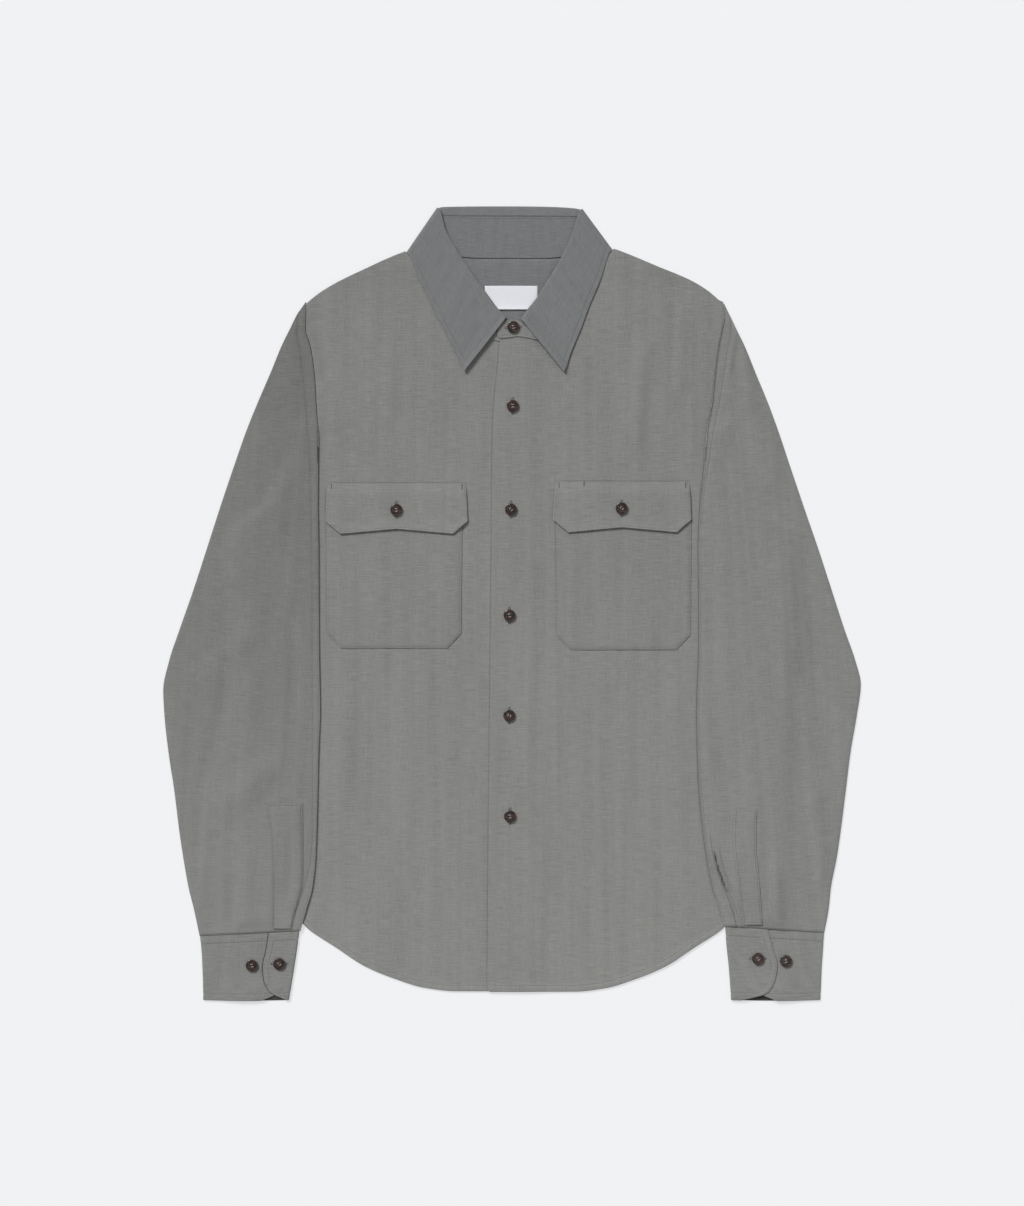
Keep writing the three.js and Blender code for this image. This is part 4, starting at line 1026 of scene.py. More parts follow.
pocket_cloth = cloth_material("pocket_cloth", shade=0.975)
for side, sizes in POCKETS.items():
    flap, pocket = sizes["flap"], sizes["pocket"]
    pocket_line = pocket_outline(pocket, flap["top"] - POCKET_TOP_BELOW_FLAP)

    def pocket_top(x, y, side=side, line=pocket_line):
        edge = distance_to(line, x, y)
        surface = front_low(side, x, y) + PLY + CLOTH - SEATED * np.exp(-edge / SEAT_FADE)
        return surface - groove(edge, POCKET_STITCH) + pucker(x, y, edge - POCKET_STITCH, 12)

    lines = edge_lines(pocket_line, POCKET_STITCH)
    name = "pocket_" + NAMES[side]
    thin = seat_of(pocket_line)
    made = cloth_panel(name + "_cloth", pocket_line, 2.6, pocket_top, pocket_cloth, lines, pressed=thin)
    rows = stitches_along(on_top(lines[1], pocket_top))
    sewn_down(made, name, *panel_flat(pocket_line), (fronts[side].name,), rows)

    flap_line = flap_outline(flap)
    seam = [flap_line[-1], flap_line[0]]

    def flap_top(x, y, side=side, line=flap_line, seam=seam, top=flap["top"]):
        edge = distance_to(line, x, y)
        sewn = distance_to(seam, x, y)
        lower = distance_to(line[1:6], x, y)
        upright = np.minimum(distance_to(line[:2], x, y), distance_to(line[5:], x, y))
        curl = FLAP_CURL * np.exp(-lower / CURL_FADE) * soft((top - y - CURL_FROM) / 12)
        flat_sides = FLAP_SIDE_DIP * np.exp(-upright / SEAT_FADE) * soft((y - top + SIDE_DIP_TO) / 10)
        surface = flap_low(side, top, x, y) + CLOTH + curl - flat_sides
        surface = surface - SEATED * np.exp(-sewn / SEAT_FADE)
        surface = surface - groove(edge, FLAP_STITCH, 0.14) - groove(sewn, FLAP_STITCH)
        return surface + pucker(x, y, edge - FLAP_STITCH, 12)

    lines = edge_lines(flap_line, FLAP_STITCH) + edge_lines(seam, FLAP_STITCH)
    name = "pocket_flap_" + NAMES[side]
    thin = seat_of(seam)
    made = cloth_panel(name + "_cloth", flap_line, 2.4, flap_top, body_cloth, lines, pressed=thin)
    rows = stitches_along(on_top(lines[1], flap_top)) + stitches_along(on_top(lines[5], flap_top))
    tacks = [(flap["left"] + 4, -1), (flap["right"] - 4, -1)]
    if side > 0:
        tacks.append((72, 0.6))
    for corner, above in tacks:
        tack = [(corner, flap["top"] + above), (corner, flap["top"] + above - TACK_LENGTH)]
        rows += stitches_along(on_top(tack, flap_top, 0.2), 0.6, 1.1, 0.9)
    sewn_down(made, name, *panel_flat(flap_line), (fronts[side].name,), rows)


# Sleeves
# Each is one piece folded into a tube, laid flat. It is set into the armhole with a felled seam,
# whose two rows of stitches show, and the same kind of seam runs on down its inner side.
SLEEVE_REST = 2 * PLY
SLEEVE_LEDGE = 12
SLEEVE_SLOPE = 20
SLEEVE_AIR = 2.6
FULL_WIDTH = 90
CUFF_SEAM_Y = -330
SLEEVE_TILT = {-1: 5.2, 1: 7}
TILT_LENGTH = 26
SLEEVE_CREASES = (
    ("fromX", "fromY", "toX", "toY", "half", "high", "lean"),
    (223, 292, 214, 222, 8, 1.7, -0.2),
    (226, 292, 241, 186, 13, 2.4, 0),
    (235, 222, 264, 100, 20, 2.2, 0),
    (262, 60, 290, -70, 28, 1.6, 0),
    (231, -140, 245, -208, 8, 1.3, 0),
    (296, -170, 316, -300, 17, 2.2, 0.2),
    (288, -176, 306, -290, 8, -1.2, 0),
    (215, 110, 212, -140, 14, 1.3, 0.2),
    (222, -238, 230, -330, 6, 1.6, 0.1),
    (262, -255, 268, -330, 9, 1.5, 0),
    (253, -216, 256, -312, 7, -1.3, 0),
    (-250, 190, -225, 60, 22, 1.4, 0.1),
    (-255, -20, -315, -90, 24, 1.8, 0),
    (-225, -150, -300, -215, 22, 1.8, 0),
    (-281, 34, -284, -92, 16, -1.8, 0),
    (-284, -70, -311, -206, 14, -1.9, 0),
    (-309, -188, -314, -262, 11, -1.3, 0),
    (-219, 20, -219, -122, 10, -1.5, 0),
    (-219, -216, -222, -308, 8, -1.2, 0),
    (-254, -168, -245, -208, 4, -1.4, 0),
    (-281, -270, -281, -326, 8, -1.5, 0),
    (-262, -240, -268, -330, 10, 1.2, 0),
)

# The open pleat beside the left sleeve's placket, by its distance from the sleeve's inner fold
PLEAT = (
    ("y", "fold"),
    (-226, 4.6), (-256, 5.5), (-279, 8.6), (-296, 11.4), (-326, 12),
)
PLEAT_DEEP = 4.4
PLEAT_HALF = 1.5
PLEAT_TOP_Y = -226
PLEAT_FOOT_Y = -331
LIP_APART = 3.4
LIP_HALF = 2.0
LIPS_HIGH = (2.2, 1.8)


def at_sleeve(side, y, *names):
    """How far a sleeve's folds and edges reach, at places down the shirt."""
    return [along(SLEEVES[side], "y", name, y) for name in names]


def sleeve_low(side, x, y):
    """A sleeve's lower face: on the floor, but over the body where that lies below it."""
    reach = np.abs(x)
    hidden = np.abs(side_x(side, np.minimum(y, UNDERARM_Y)))
    across = reach - hidden - SLEEVE_LEDGE
    above = y - UNDERARM_Y - SLEEVE_LEDGE
    below = hem_y(side * np.minimum(reach, hidden)) - y - SLEEVE_LEDGE
    away = np.maximum(np.maximum(across, above * 0.8), below)
    return SLEEVE_REST * soft(1 - away / SLEEVE_SLOPE)


def sleeve_top(side, x, y):
    """A sleeve's upper face: two layers, with air between them and soft creases."""
    outer, fold = at_sleeve(side, y, "outer", "fold")
    share = np.clip((np.abs(x) - fold) / (outer - fold), 0, 1)
    wide = np.clip((outer - fold) / FULL_WIDTH, 0, 1)
    crown = np.sin(np.pi * share) ** 0.7 * wide
    cuff_end = 0.25 + 0.75 * soft((y - CUFF_SEAM_Y) / 60)
    inside = soft(share * 8) * soft((1 - share) * 8)
    air = np.maximum(SLEEVE_AIR * crown + creases(SLEEVE_CREASES, x, y) * inside, 0)
    return sleeve_low(side, x, y) + CLOTH + PLY + air * cuff_end + ripples(x, y) * inside


def sleeve_place(side, reach, y, z):
    """A sleeve's point, with the cuff end slanting up towards the body."""
    last = column(SLEEVES[side], "y")[-1]
    tilt = np.clip((last + TILT_LENGTH - y) / TILT_LENGTH, 0, 1)
    outer, edge = at_sleeve(side, y, "outer", "edge")
    lift = SLEEVE_TILT[side] * tilt * (outer - reach) / (outer - edge)
    return np.stack((side * reach, y + lift, z), -1)


SEAM_LIFT = 1.2
SEAM_LIFT_REACH = 14
SEAM_LIFT_TOP = 296
SEAM_DIP = {-1: 0.5, 1: 0.1}
SEAM_DIP_REACH = 1.1
SEAM_STEP = {-1: 0.5, 1: 0.05}
SEAM_RISE_FROM = 118
SEAM_RISE_LENGTH = 84


def seam_rise(y):
    """1 where the felled seam lies on the sleeve's upper layer, 0 where it is its lower edge."""
    return soft((y - SEAM_RISE_FROM) / SEAM_RISE_LENGTH)


def seam_lift(side, reach, y):
    """How far the sleeve rides up beside the armhole, to meet the body there."""
    high = SEAM_LIFT * seam_rise(y) * soft((SEAM_LIFT_TOP - y) / 20)
    return bell(reach - at_sleeve(side, y, "fold")[0], high, SEAM_LIFT_REACH)


def from_pleat(reach, y):
    """How far points of the left sleeve lie outside the middle of its pleat."""
    return reach - at_sleeve(1, y, "fold")[0] - along(PLEAT, "y", "fold", y)


def pleat(side, reach, y):
    """The depth of the pleat beside the left placket."""
    if side < 0:
        return np.zeros(np.shape(reach))
    off = from_pleat(reach, y)
    ends = soft((PLEAT_TOP_Y - y) / 34) * soft((y - PLEAT_FOOT_Y) / 6)
    slit = PLEAT_DEEP * (1 - soft((np.abs(off) - PLEAT_HALF * 0.6) / PLEAT_HALF))
    outer_lip, inner_lip = (bell(off - s * LIP_APART, h, LIP_HALF) for s, h in zip((1, -1), LIPS_HIGH))
    return ends * (slit - outer_lip - inner_lip)


def upper_face(side, reach, y):
    """The finished upper face of a sleeve, outside its seam."""
    dip = bell(reach - at_sleeve(side, y, "fold")[0], SEAM_DIP[side], SEAM_DIP_REACH)
    face = sleeve_top(side, side * reach, y) + seam_lift(side, reach, y) - pleat(side, reach, y) - dip
    return np.maximum(face, sleeve_low(side, side * reach, y) + 2 * SLEEVE_WALL + WALLS_APART)


SEAM_ROW = 1.8
SEAM_NEAR = np.array([0.25, 0.9, 1.4, SEAM_ROW, 2.2, 2.9])
SEAM_FAR_ROW = 0.9
SEAM_FAR = np.array([2.4, 1.7, 1.3, SEAM_FAR_ROW, 0.5, 0.1])
SEAM_GROOVE = 0.16
SEAM_SUNK = 0.15
# How dark the near-black painted shade is on a sleeve's faces that lie in deep shade
SLEEVE_SHADOW_PAINT = 0.3


def seam_scale(side, y):
    """How much narrower than usual the felled seam is."""
    fold, edge = at_sleeve(side, y, "fold", "edge")
    return np.clip((fold - edge) / 8, 0.02, 1)


def seam_face(side, reach, y):
    """The upper face of the felled seam, from its near edge to its far one."""
    fold, edge = at_sleeve(side, y, "fold", "edge")
    scale = seam_scale(side, y)
    near_row = groove((reach - edge) / scale, SEAM_ROW, SEAM_GROOVE)
    far_row = groove((fold - reach) / scale, SEAM_FAR_ROW, SEAM_GROOVE)
    step = SEAM_STEP[side] * seam_rise(y) - SEAM_SUNK
    return sleeve_top(side, side * fold, y) + seam_lift(side, fold, y) + step - near_row - far_row


# Where a sleeve's upper face has its points, by distance from the inner fold
NEAR_FOLD = (0.3, 0.7, 1.2, 1.8, *np.arange(2.6, 12.6, 0.9).round(1), 13.6, 15, 17)
SLEEVE_STEP = 3.4
SLEEVE_WALL = 0.9
WALLS_APART = 0.25
FOLD_ROUND = 1.15
FOLD_CURVE = 1.2
EDGE_UNDERCUT = 1.1
EDGE_FOOT = 0.15


def sleeve_rings(side):
    """The outer and inner rings of a sleeve, from the armhole to the cuff."""
    ys = column(SLEEVES[side], "y")
    y = np.linspace(ys[0], ys[-1], round((ys[0] - ys[-1]) / SLEEVE_STEP))[:, None]
    outer, fold, edge = at_sleeve(side, y, "outer", "fold", "edge")
    room = np.clip((outer - fold) / 40, 0.01, 1)
    near = fold + np.array(NEAR_FOLD) * room
    wide = np.linspace(0, 1, 31)[1:-1] ** 0.92
    far = near[:, -1:] + (outer - FOLD_CURVE * room - near[:, -1:]) * wide
    upper = np.concatenate((near, far), 1)
    high = upper_face(side, upper, y)
    turn = np.radians(np.linspace(75, -75, 7))
    last_high, last_low = high[:, -1:], sleeve_low(side, side * outer, y)
    middle, half = (last_high + last_low) / 2, (last_high - last_low) / 2
    round_reach = outer - FOLD_CURVE * room * (1 - np.cos(turn))
    round_high = middle + half * np.sin(turn)
    scale = seam_scale(side, y)
    seam = np.concatenate((edge + SEAM_NEAR * scale, (edge + fold) / 2, fold - SEAM_FAR * scale), 1)
    seam_high = seam_face(side, seam, y)
    under_seam = np.maximum(seam, edge + (EDGE_UNDERCUT + 0.1) * scale)
    under = np.concatenate((far[:, ::-1], near[:, ::-1], under_seam[:, ::-1]), 1)
    under_low = sleeve_low(side, side * under, y)
    edge_high = sleeve_low(side, side * edge, y) + EDGE_FOOT
    foot = seam_high[:, :1] - 0.5 * scale
    rise = seam_high[:, -1:] + (high[:, :1] - seam_high[:, -1:]) * np.array([0.3, 0.7])
    rise_reach = fold + np.array([0, 0.12]) * room
    undercut = edge + EDGE_UNDERCUT * scale
    reach = np.concatenate((undercut, edge, seam, rise_reach, upper, round_reach, under), 1)
    height = np.concatenate((edge_high, foot, seam_high, rise, high, round_high, under_low), 1)

    wall_outer = outer - FOLD_ROUND * room
    closed = fold + FOLD_ROUND * room
    inner_edge = closed + (edge + (EDGE_UNDERCUT + 0.4) * scale - closed) * seam_rise(y)
    held = np.clip(np.concatenate((seam, upper), 1), inner_edge, wall_outer)
    held_high = np.where(held < fold, seam_face(side, held, y), upper_face(side, held, y)) - SLEEVE_WALL
    held_low = sleeve_low(side, side * held, y) + SLEEVE_WALL
    held_high = np.maximum(held_high, held_low + 0.1)
    corner = held_low[:, :1] + (held_high[:, :1] - held_low[:, :1]) * np.linspace(0, 1, 5)[:4]
    end_high, end_low = held_high[:, -1:], held_low[:, -1:]
    end = end_high + (end_low - end_high) * np.linspace(0, 1, len(turn))
    inner_reach = np.concatenate(
        (np.repeat(held[:, :1], 4, 1), held, np.repeat(wall_outer, len(turn), 1), held[:, ::-1]), 1
    )
    inner_height = np.concatenate((corner, held_high, end, held_low[:, ::-1]), 1)
    place = np.broadcast_to(y, reach.shape)
    return sleeve_place(side, reach, place, height), sleeve_place(side, inner_reach, place, inner_height)


def ring_faces(rows, count):
    """The faces between closed rings of points that follow one another."""
    faces = []
    for r in range(rows - 1):
        for i in range(count):
            a, b = r * count + i, r * count + (i + 1) % count
            faces.append((a, b, b + count, a + count))
    return faces


def tube(name, outer, inner, material):
    """A closed wall between two sets of rings, joined at both ends."""
    rows, count = outer.shape[:2]
    points = np.concatenate((outer.reshape(-1, 3), inner.reshape(-1, 3)))
    shift = rows * count
    faces = ring_faces(rows, count)
    faces += turned_round(faces, shift)
    for i in range(count):
        a, b = i, (i + 1) % count
        faces.append((b, a, a + shift, b + shift))
        a, b = a + (rows - 1) * count, b + (rows - 1) * count
        faces.append((a, b, b + shift, a + shift))
    made = object_of(name, points, faces, material)
    face_out(made)
    return made


def face_out(piece):
    """Turns a closed mesh's faces round when they point inwards."""
    mesh = piece.data
    mesh.calc_loop_triangles()
    corners = np.zeros(len(mesh.loop_triangles) * 3, int)
    mesh.loop_triangles.foreach_get("vertices", corners)
    points = np.zeros(len(mesh.vertices) * 3)
    mesh.vertices.foreach_get("co", points)
    a, b, c = points.reshape(-1, 3)[corners].reshape(-1, 3, 3).transpose(1, 0, 2)
    if (a * np.cross(b, c)).sum() < 0:
        mesh.flip_normals()


# Painted shade and light: the right sleeve's cloth is painted darker, and lighter towards the hem more
# steeply than the left one's.
SLEEVE_PAINTED_SHADE = {-1: 0.845, 1: 0.965}
SLEEVE_PAINTED_HEM_LIGHT = {-1: 0.6, 1: 0.16}

# The parts of a sleeve that lie in deep shade, painted near-black as painted shade: the first
# faces of each ring along the armhole, down to a little below the underarm, and a lens in the pleat
ARMHOLE_DARK = 3
ARMHOLE_DARK_LOW = UNDERARM_Y - 12
PLEAT_DARK_Y = -267
PLEAT_DARK_HALF = 24
PLEAT_DARK_WIDE = 0.62
UPPER_LAYER_Z = 2
sleeve_pieces = {}
for side in (-1, 1):
    name = "sleeve_" + NAMES[side]
    outer, inner = sleeve_rings(side)
    grain = cloth_material(name + "_cloth", turn=-side * 4, shade=SLEEVE_PAINTED_SHADE[side], painted_hem_light=SLEEVE_PAINTED_HEM_LIGHT[side])
    made = tube(name + "_cloth", outer, inner, grain)
    sleeve_pieces[side] = made
    # Painted shade: a near-black copy of the cloth for the faces that lie in deep shade
    made.data.materials.append(cloth_material(name + "_inner_cloth", shade=SLEEVE_SHADOW_PAINT))
    count = outer.shape[1]
    for r in range(len(outer) - 1):
        for i in range(ARMHOLE_DARK if outer[r, 0, 1] > ARMHOLE_DARK_LOW else 0):
            made.data.polygons[r * count + i].material_index = 1
    for face in made.data.polygons if side > 0 else ():
        x, y, z = face.center / MM
        lens = 1 - ((y - PLEAT_DARK_Y) / PLEAT_DARK_HALF) ** 2
        if lens > 0 and z > UPPER_LAYER_Z and abs(from_pleat(x, y)) < PLEAT_HALF * PLEAT_DARK_WIDE * lens:
            face.material_index = 1
    rows = []
    ys = np.arange(column(SLEEVES[side], "y")[0] - 14, column(SLEEVES[side], "y")[-1] + 6, -1.5)
    scale = seam_scale(side, ys)
    fold, edge = at_sleeve(side, ys, "fold", "edge")
    near, far = edge + SEAM_ROW * scale, fold - SEAM_FAR_ROW * scale
    for reach, last in ((near, len(ys)), (far, int((ys > UNDERARM_Y - 30).sum()))):
        height = seam_face(side, reach, ys) + 0.06
        rows += stitches_along(sleeve_place(side, reach, ys, height)[:last])
    girth = 2 * (column(SLEEVES[side], "outer") - column(SLEEVES[side], "edge"))
    drop = -np.diff(column(SLEEVES[side], "y"))
    area = float((drop * (girth[1:] + girth[:-1]) / 2).sum())
    flat = (float(girth.max()), float(drop.sum()))
    sewn_down(made, name, flat, area, (fronts[side].name, "back_cloth"), rows)


# Sleeve plackets
# A narrow folded strip binds the slit above each cuff. It is boxed off at its top and sewn down
# along both edges.
PLACKET_RIGHT = (
    ("y", "outer", "inner"),
    (-200, 246.5, 209), (-216, 243, 208.7), (-234, 240.2, 208.5), (-256, 239.2, 208.5), (-280, 239, 209),
    (-295, 238.9, 212.5), (-310, 238.8, 217), (-325, 238.8, 220.5),
)
PLACKET_LEFT = (
    ("y", "outer", "inner"),
    (-205.4, 244.6, 222), (-222, 243.6, 221.5), (-240, 243.6, 221.5), (-268, 246, 224), (-296, 248.3, 228),
    (-321, 250, 231),
)
PLACKETS = {-1: PLACKET_RIGHT, 1: PLACKET_LEFT}
PLACKET_GROOVE = {-1: 0.8, 1: 0.4}
PLACKET_STITCH = 1.6
PLACKET_BOX = 12


def grid_shell(name, upper, lower, material, uv=None):
    """A closed shell between two grids of points, joined round their rims."""
    rows, columns = upper.shape[:2]
    count = rows * columns
    points = np.concatenate((upper.reshape(-1, 3), lower.reshape(-1, 3)))
    faces = []
    for r in range(rows - 1):
        for i in range(columns - 1):
            a = r * columns + i
            faces.append((a, a + 1, a + columns + 1, a + columns))
            faces.append((a + count, a + columns + count, a + columns + 1 + count, a + 1 + count))
    rim = [*range(columns - 1)]
    rim += [r * columns + columns - 1 for r in range(rows - 1)]
    rim += [(rows - 1) * columns + i for i in range(columns - 1, 0, -1)]
    rim += [r * columns for r in range(rows - 1, 0, -1)]
    for a, b in zip(rim, rim[1:] + rim[:1]):
        faces.append((b, a, a + count, b + count))
    both = None if uv is None else np.concatenate((uv.reshape(-1, 2),) * 2)
    made = object_of(name, points, faces, material, both)
    face_out(made)
    return made


EDGE_STEPS = np.array([0, 0.12, 0.35, 0.7, 1.1, 1.6, 2.1, 2.7])


def edged(start, end, step):
    """Places from start to end, closer together near both ends."""
    length = abs(end - start)
    middle = np.linspace(EDGE_STEPS[-1], length - EDGE_STEPS[-1], max(2, round(length / step)))
    at = np.concatenate((EDGE_STEPS[:-1], middle, length - EDGE_STEPS[-2::-1]))
    return start + at * np.sign(end - start)


def placket_points(side, share, y, lift):
    """Points on a placket, by how far they lie from its outer to its inner edge."""
    outer, inner = (along(PLACKETS[side], "y", name, y) for name in ("outer", "inner"))
    reach = outer + (inner - outer) * share
    return np.stack((side * reach, y, sleeve_top(side, side * reach, y) + GAP + lift), -1)


for side, table in PLACKETS.items():
    name = "sleeve_placket_" + NAMES[side]
    top, bottom = column(table, "y")[0], column(table, "y")[-1]
    wide = float(np.mean(column(table, "outer") - column(table, "inner")))
    share = edged(0, wide, 3) / wide
    y, share = np.meshgrid(edged(top, bottom, 3), share, indexing="ij")
    free = share * wide
    edge = np.minimum(np.minimum(top - y, y - bottom), np.minimum(free, wide - free))
    turned = rounded(edge, CLOTH)
    seat = SEATED * np.exp(-np.minimum(top - y, wide - free) / SEAT_FADE)
    sewn = groove(edge, PLACKET_STITCH, 0.15) + groove(free, 0.9, PLACKET_GROOVE[side])
    high = CLOTH - seat - sewn - turned
    upper = placket_points(side, share, y, high)
    lower = placket_points(side, share, y, turned - seat * 0.2)
    made = grid_shell(name + "_cloth", upper, lower, sleeve_pieces[side].data.materials[0])
    ys = np.linspace(bottom + 2, top - PLACKET_STITCH, 70)
    rows = []
    for at in (1.8 / wide, 1 - 1.8 / wide):
        rows += stitches_along(placket_points(side, at, ys, CLOTH - 0.12))
    across = np.linspace(PLACKET_STITCH / wide, 1 - PLACKET_STITCH / wide, 20)
    for down in (PLACKET_STITCH, PLACKET_BOX):
        rows += stitches_along(placket_points(side, across, np.full(20, top - down), CLOTH - 0.16))
    flat = (wide, top - bottom)
    sewn_down(made, name, flat, flat[0] * flat[1], (sleeve_pieces[side].name,), rows)


# Cuffs
# Each is one stiffened band, buttoned round on itself: from its lower end round the outer fold,
# along the floor, round the inner fold and over to its lapping end, whose corner is rounded.
CUFF_WALL = 1.2
CUFF_PLY = CUFF_WALL + GAP
CUFF_STITCH = 6.5
CUFF_OPEN = 2.6
CUFF_BOTTOM = -397.5
CUFF_BOWING = 0.8
CUFF_HALF = 45
CUFF_SHADE = {-1: 0.975, 1: 1.0}
CUFF_TOPS = {-1: (-332.9, -327.8), 1: (-329.9, -322.9)}
CUFF_RIGHT = (
    ("down", "outer", "inner", "lap", "under"),
    (0, 312.2, 212.6, 244, 226),
    (0.25, 310.6, 214.8, 246.6, 228),
    (0.5, 309.8, 217.4, 250, 229),
    (0.7, 309.3, 219.6, 248.6, 229),
    (0.85, 309.1, 221.3, 243.6, 231),
    (0.92, 309, 222.1, 237, 237),
    (1, 309, 223.1, 225, 251),
)
CUFF_LEFT = (
    ("down", "outer", "inner", "lap", "under"),
    (0, 312.3, 213.2, 255.6, 226),
    (0.25, 311.2, 214.4, 260.5, 228),
    (0.5, 310, 216.4, 265.4, 230),
    (0.7, 309.4, 217.6, 263, 236),
    (0.85, 309, 218.4, 257.5, 242),
    (0.915, 308.8, 218.7, 250.5, 250),
    (1, 308.6, 219, 229, 265),
)
CUFFS = {-1: CUFF_RIGHT, 1: CUFF_LEFT}


def cuff_y(side, reach, down):
    """How far down the shirt a point of a cuff lies, from its share of the cuff's depth."""
    outer_y, inner_y = CUFF_TOPS[side]
    outer, inner = column(CUFFS[side], "outer"), column(CUFFS[side], "inner")
    high = outer_y + (inner_y - outer_y) * (outer[0] - reach) / (outer[0] - inner[0])
    middle = (outer[-1] + inner[-1]) / 2
    low = CUFF_BOTTOM + CUFF_BOWING * ((reach - middle) / CUFF_HALF) ** 2
    return high + (low - high) * down


def cuff_line(side, down):
    """The middle line of a cuff's section, as reaches and heights, at a share of its depth."""
    outer, inner, lap, under = (
        float(along(CUFFS[side], "down", name, down)) for name in ("outer", "inner", "lap", "under")
    )
    centre, small, large = CUFF_WALL / 2, CUFF_PLY / 2, CUFF_PLY

    def opened(reach):
        share = np.clip((reach - inner - 8) / (outer - inner - 16), 0, 1)
        return CUFF_OPEN * soft((down - 0.55) / 0.4) * np.sin(np.pi * share) ** 2

    turn = np.radians(np.linspace(90, -90, 10))
    round_outer = (outer - centre - small + small * np.cos(turn), centre + small + small * np.sin(turn))
    turn = np.radians(np.linspace(-90, -270, 14))
    round_inner = (inner + centre + large + large * np.cos(turn), centre + large + large * np.sin(turn))
    first = under + (round_outer[0][0] - under) * np.linspace(0, 1, 34) ** 1.15
    floor_run = np.linspace(round_outer[0][-1], round_inner[0][0], 24)[1:-1]
    lapping = round_inner[0][-1] + (lap - round_inner[0][-1]) * (1 - np.linspace(1, 0, 26) ** 1.6)
    reach = np.concatenate((first[:-1], round_outer[0], floor_run, round_inner[0], lapping[1:]))
    height = np.concatenate((
        centre + CUFF_PLY + opened(first[:-1]), round_outer[1],
        np.full(len(floor_run), centre), round_inner[1],
        centre + 2 * CUFF_PLY + opened(lapping[1:]),
    ))
    return reach, height


# How far down a cuff its rows of points lie, with more of them beside its two rows of stitches,
# as shares of its depth
CUFF_DEPTH = 66
CUFF_TURN_IN = 1.5
CUFF_ROWS = np.array([-1.2, -0.6, 0, 0.6, 1.2])
CUFF_DOWNS = np.concatenate((
    edged(0, CUFF_DEPTH, 2.4), CUFF_STITCH + CUFF_TURN_IN + CUFF_ROWS,
    CUFF_DEPTH - CUFF_STITCH + CUFF_ROWS,
))
CUFF_DOWNS = np.unique(CUFF_DOWNS.round(2)) / CUFF_DEPTH
CUFF_GROOVE = 0.34
LAP_GROOVE = 0.45
# How dark the painted shade is inside the cuffs' wedges and along the right cuff's lapping edge
CUFF_SHADOW_PAINT = 0.25
CUFF_TOP_ROW = 0.122
WEDGE_HEIGHT = 12
LAP_EDGE_FACES = 3
for side in (-1, 1):
    name = "cuff_" + NAMES[side]
    middle = np.array([cuff_line(side, d) for d in CUFF_DOWNS])
    reach, height = middle[:, 0], middle[:, 1]
    run_reach, run_height = np.gradient(reach, axis=1), np.gradient(height, axis=1)
    size = np.hypot(run_reach, run_height)
    run_reach, run_height = run_reach / size, run_height / size
    length = np.cumsum(np.hypot(np.diff(reach, axis=1), np.diff(height, axis=1)), axis=1)
    length = np.concatenate((np.zeros((len(length), 1)), length), 1)
    depth = np.minimum(CUFF_DOWNS, 1 - CUFF_DOWNS)[:, None] * CUFF_DEPTH
    ends = np.minimum(length, length[:, -1:] - length)
    edge = np.minimum(depth, ends)
    half = CUFF_WALL / 2 - rounded(edge, CUFF_WALL)
    down = CUFF_DOWNS[:, None]
    sewn = np.minimum(ends, np.where(down < 0.5, depth - CUFF_TURN_IN, depth))
    outside = half - groove(sewn, CUFF_STITCH, CUFF_GROOVE)
    if side > 0:
        outside = outside - groove(length[:, -1:] - length, 0.9, LAP_GROOVE)
    upper = np.stack((reach - run_height * outside, height + run_reach * outside), -1)
    lower = np.stack((reach + run_height * half, height - run_reach * half), -1)
    faces_of = [
        np.stack((side * f[..., 0], cuff_y(side, f[..., 0], down), f[..., 1]), -1) for f in (upper, lower)
    ]
    uv = np.stack((length, np.broadcast_to(down * CUFF_DEPTH, length.shape)), -1)
    grain = cloth_material(name + "_cloth", on_uv=True, shade=CUFF_SHADE[side])
    made = grid_shell(name + "_cloth", *faces_of, grain, uv)
    # Painted shade: the inner face of a cuff's floor layer near its bottom, seen through the wedge between
    # its ends, and on the right cuff the last faces along its lapping edge, get a near-black copy of the
    # cloth
    made.data.materials.append(cloth_material(name + "_inner_cloth", on_uv=True, shade=CUFF_SHADOW_PAINT))
    for face in made.data.polygons:
        inside_face = face.normal.z > 0.5 and face.center.z / MM < CUFF_WALL + 0.5
        if inside_face and face.center.y / MM < CUFF_BOTTOM + WEDGE_HEIGHT:
            face.material_index = 1
    runs = length.shape[1] - 1
    for index in range(0, 2 * runs * (len(CUFF_DOWNS) - 1), 2):
        if side < 0 and index // 2 % runs >= runs - LAP_EDGE_FACES:
            made.data.polygons[index].material_index = 1
    rows = []
    first = dict(zip(CUFFS[side][0], CUFFS[side][1]))
    lap_high, under_high = (CUFF_WALL + layers * CUFF_PLY - 0.12 for layers in (2, 1))
    downs = np.linspace(0.12, 0.9, 40)
    lap = along(CUFFS[side], "down", "lap", downs) - CUFF_STITCH
    on_lap = np.linspace(first["inner"] + 3, first["lap"] - CUFF_STITCH, 30)
    on_under = np.linspace(first["lap"] + 2, first["outer"] - 2, 40)
    for reach, share, high in (
        (lap, downs, lap_high), (on_lap, CUFF_TOP_ROW, lap_high), (on_under, CUFF_TOP_ROW, under_high),
    ):
        places = np.stack((side * reach, cuff_y(side, reach, share), np.full(len(reach), high)), 1)
        rows += stitches_along(places)
    flat = (float(length.max()), CUFF_DEPTH)
    area = float(length[:, -1].mean() * CUFF_DEPTH)
    sewn_down(made, name, flat, area, (), rows)


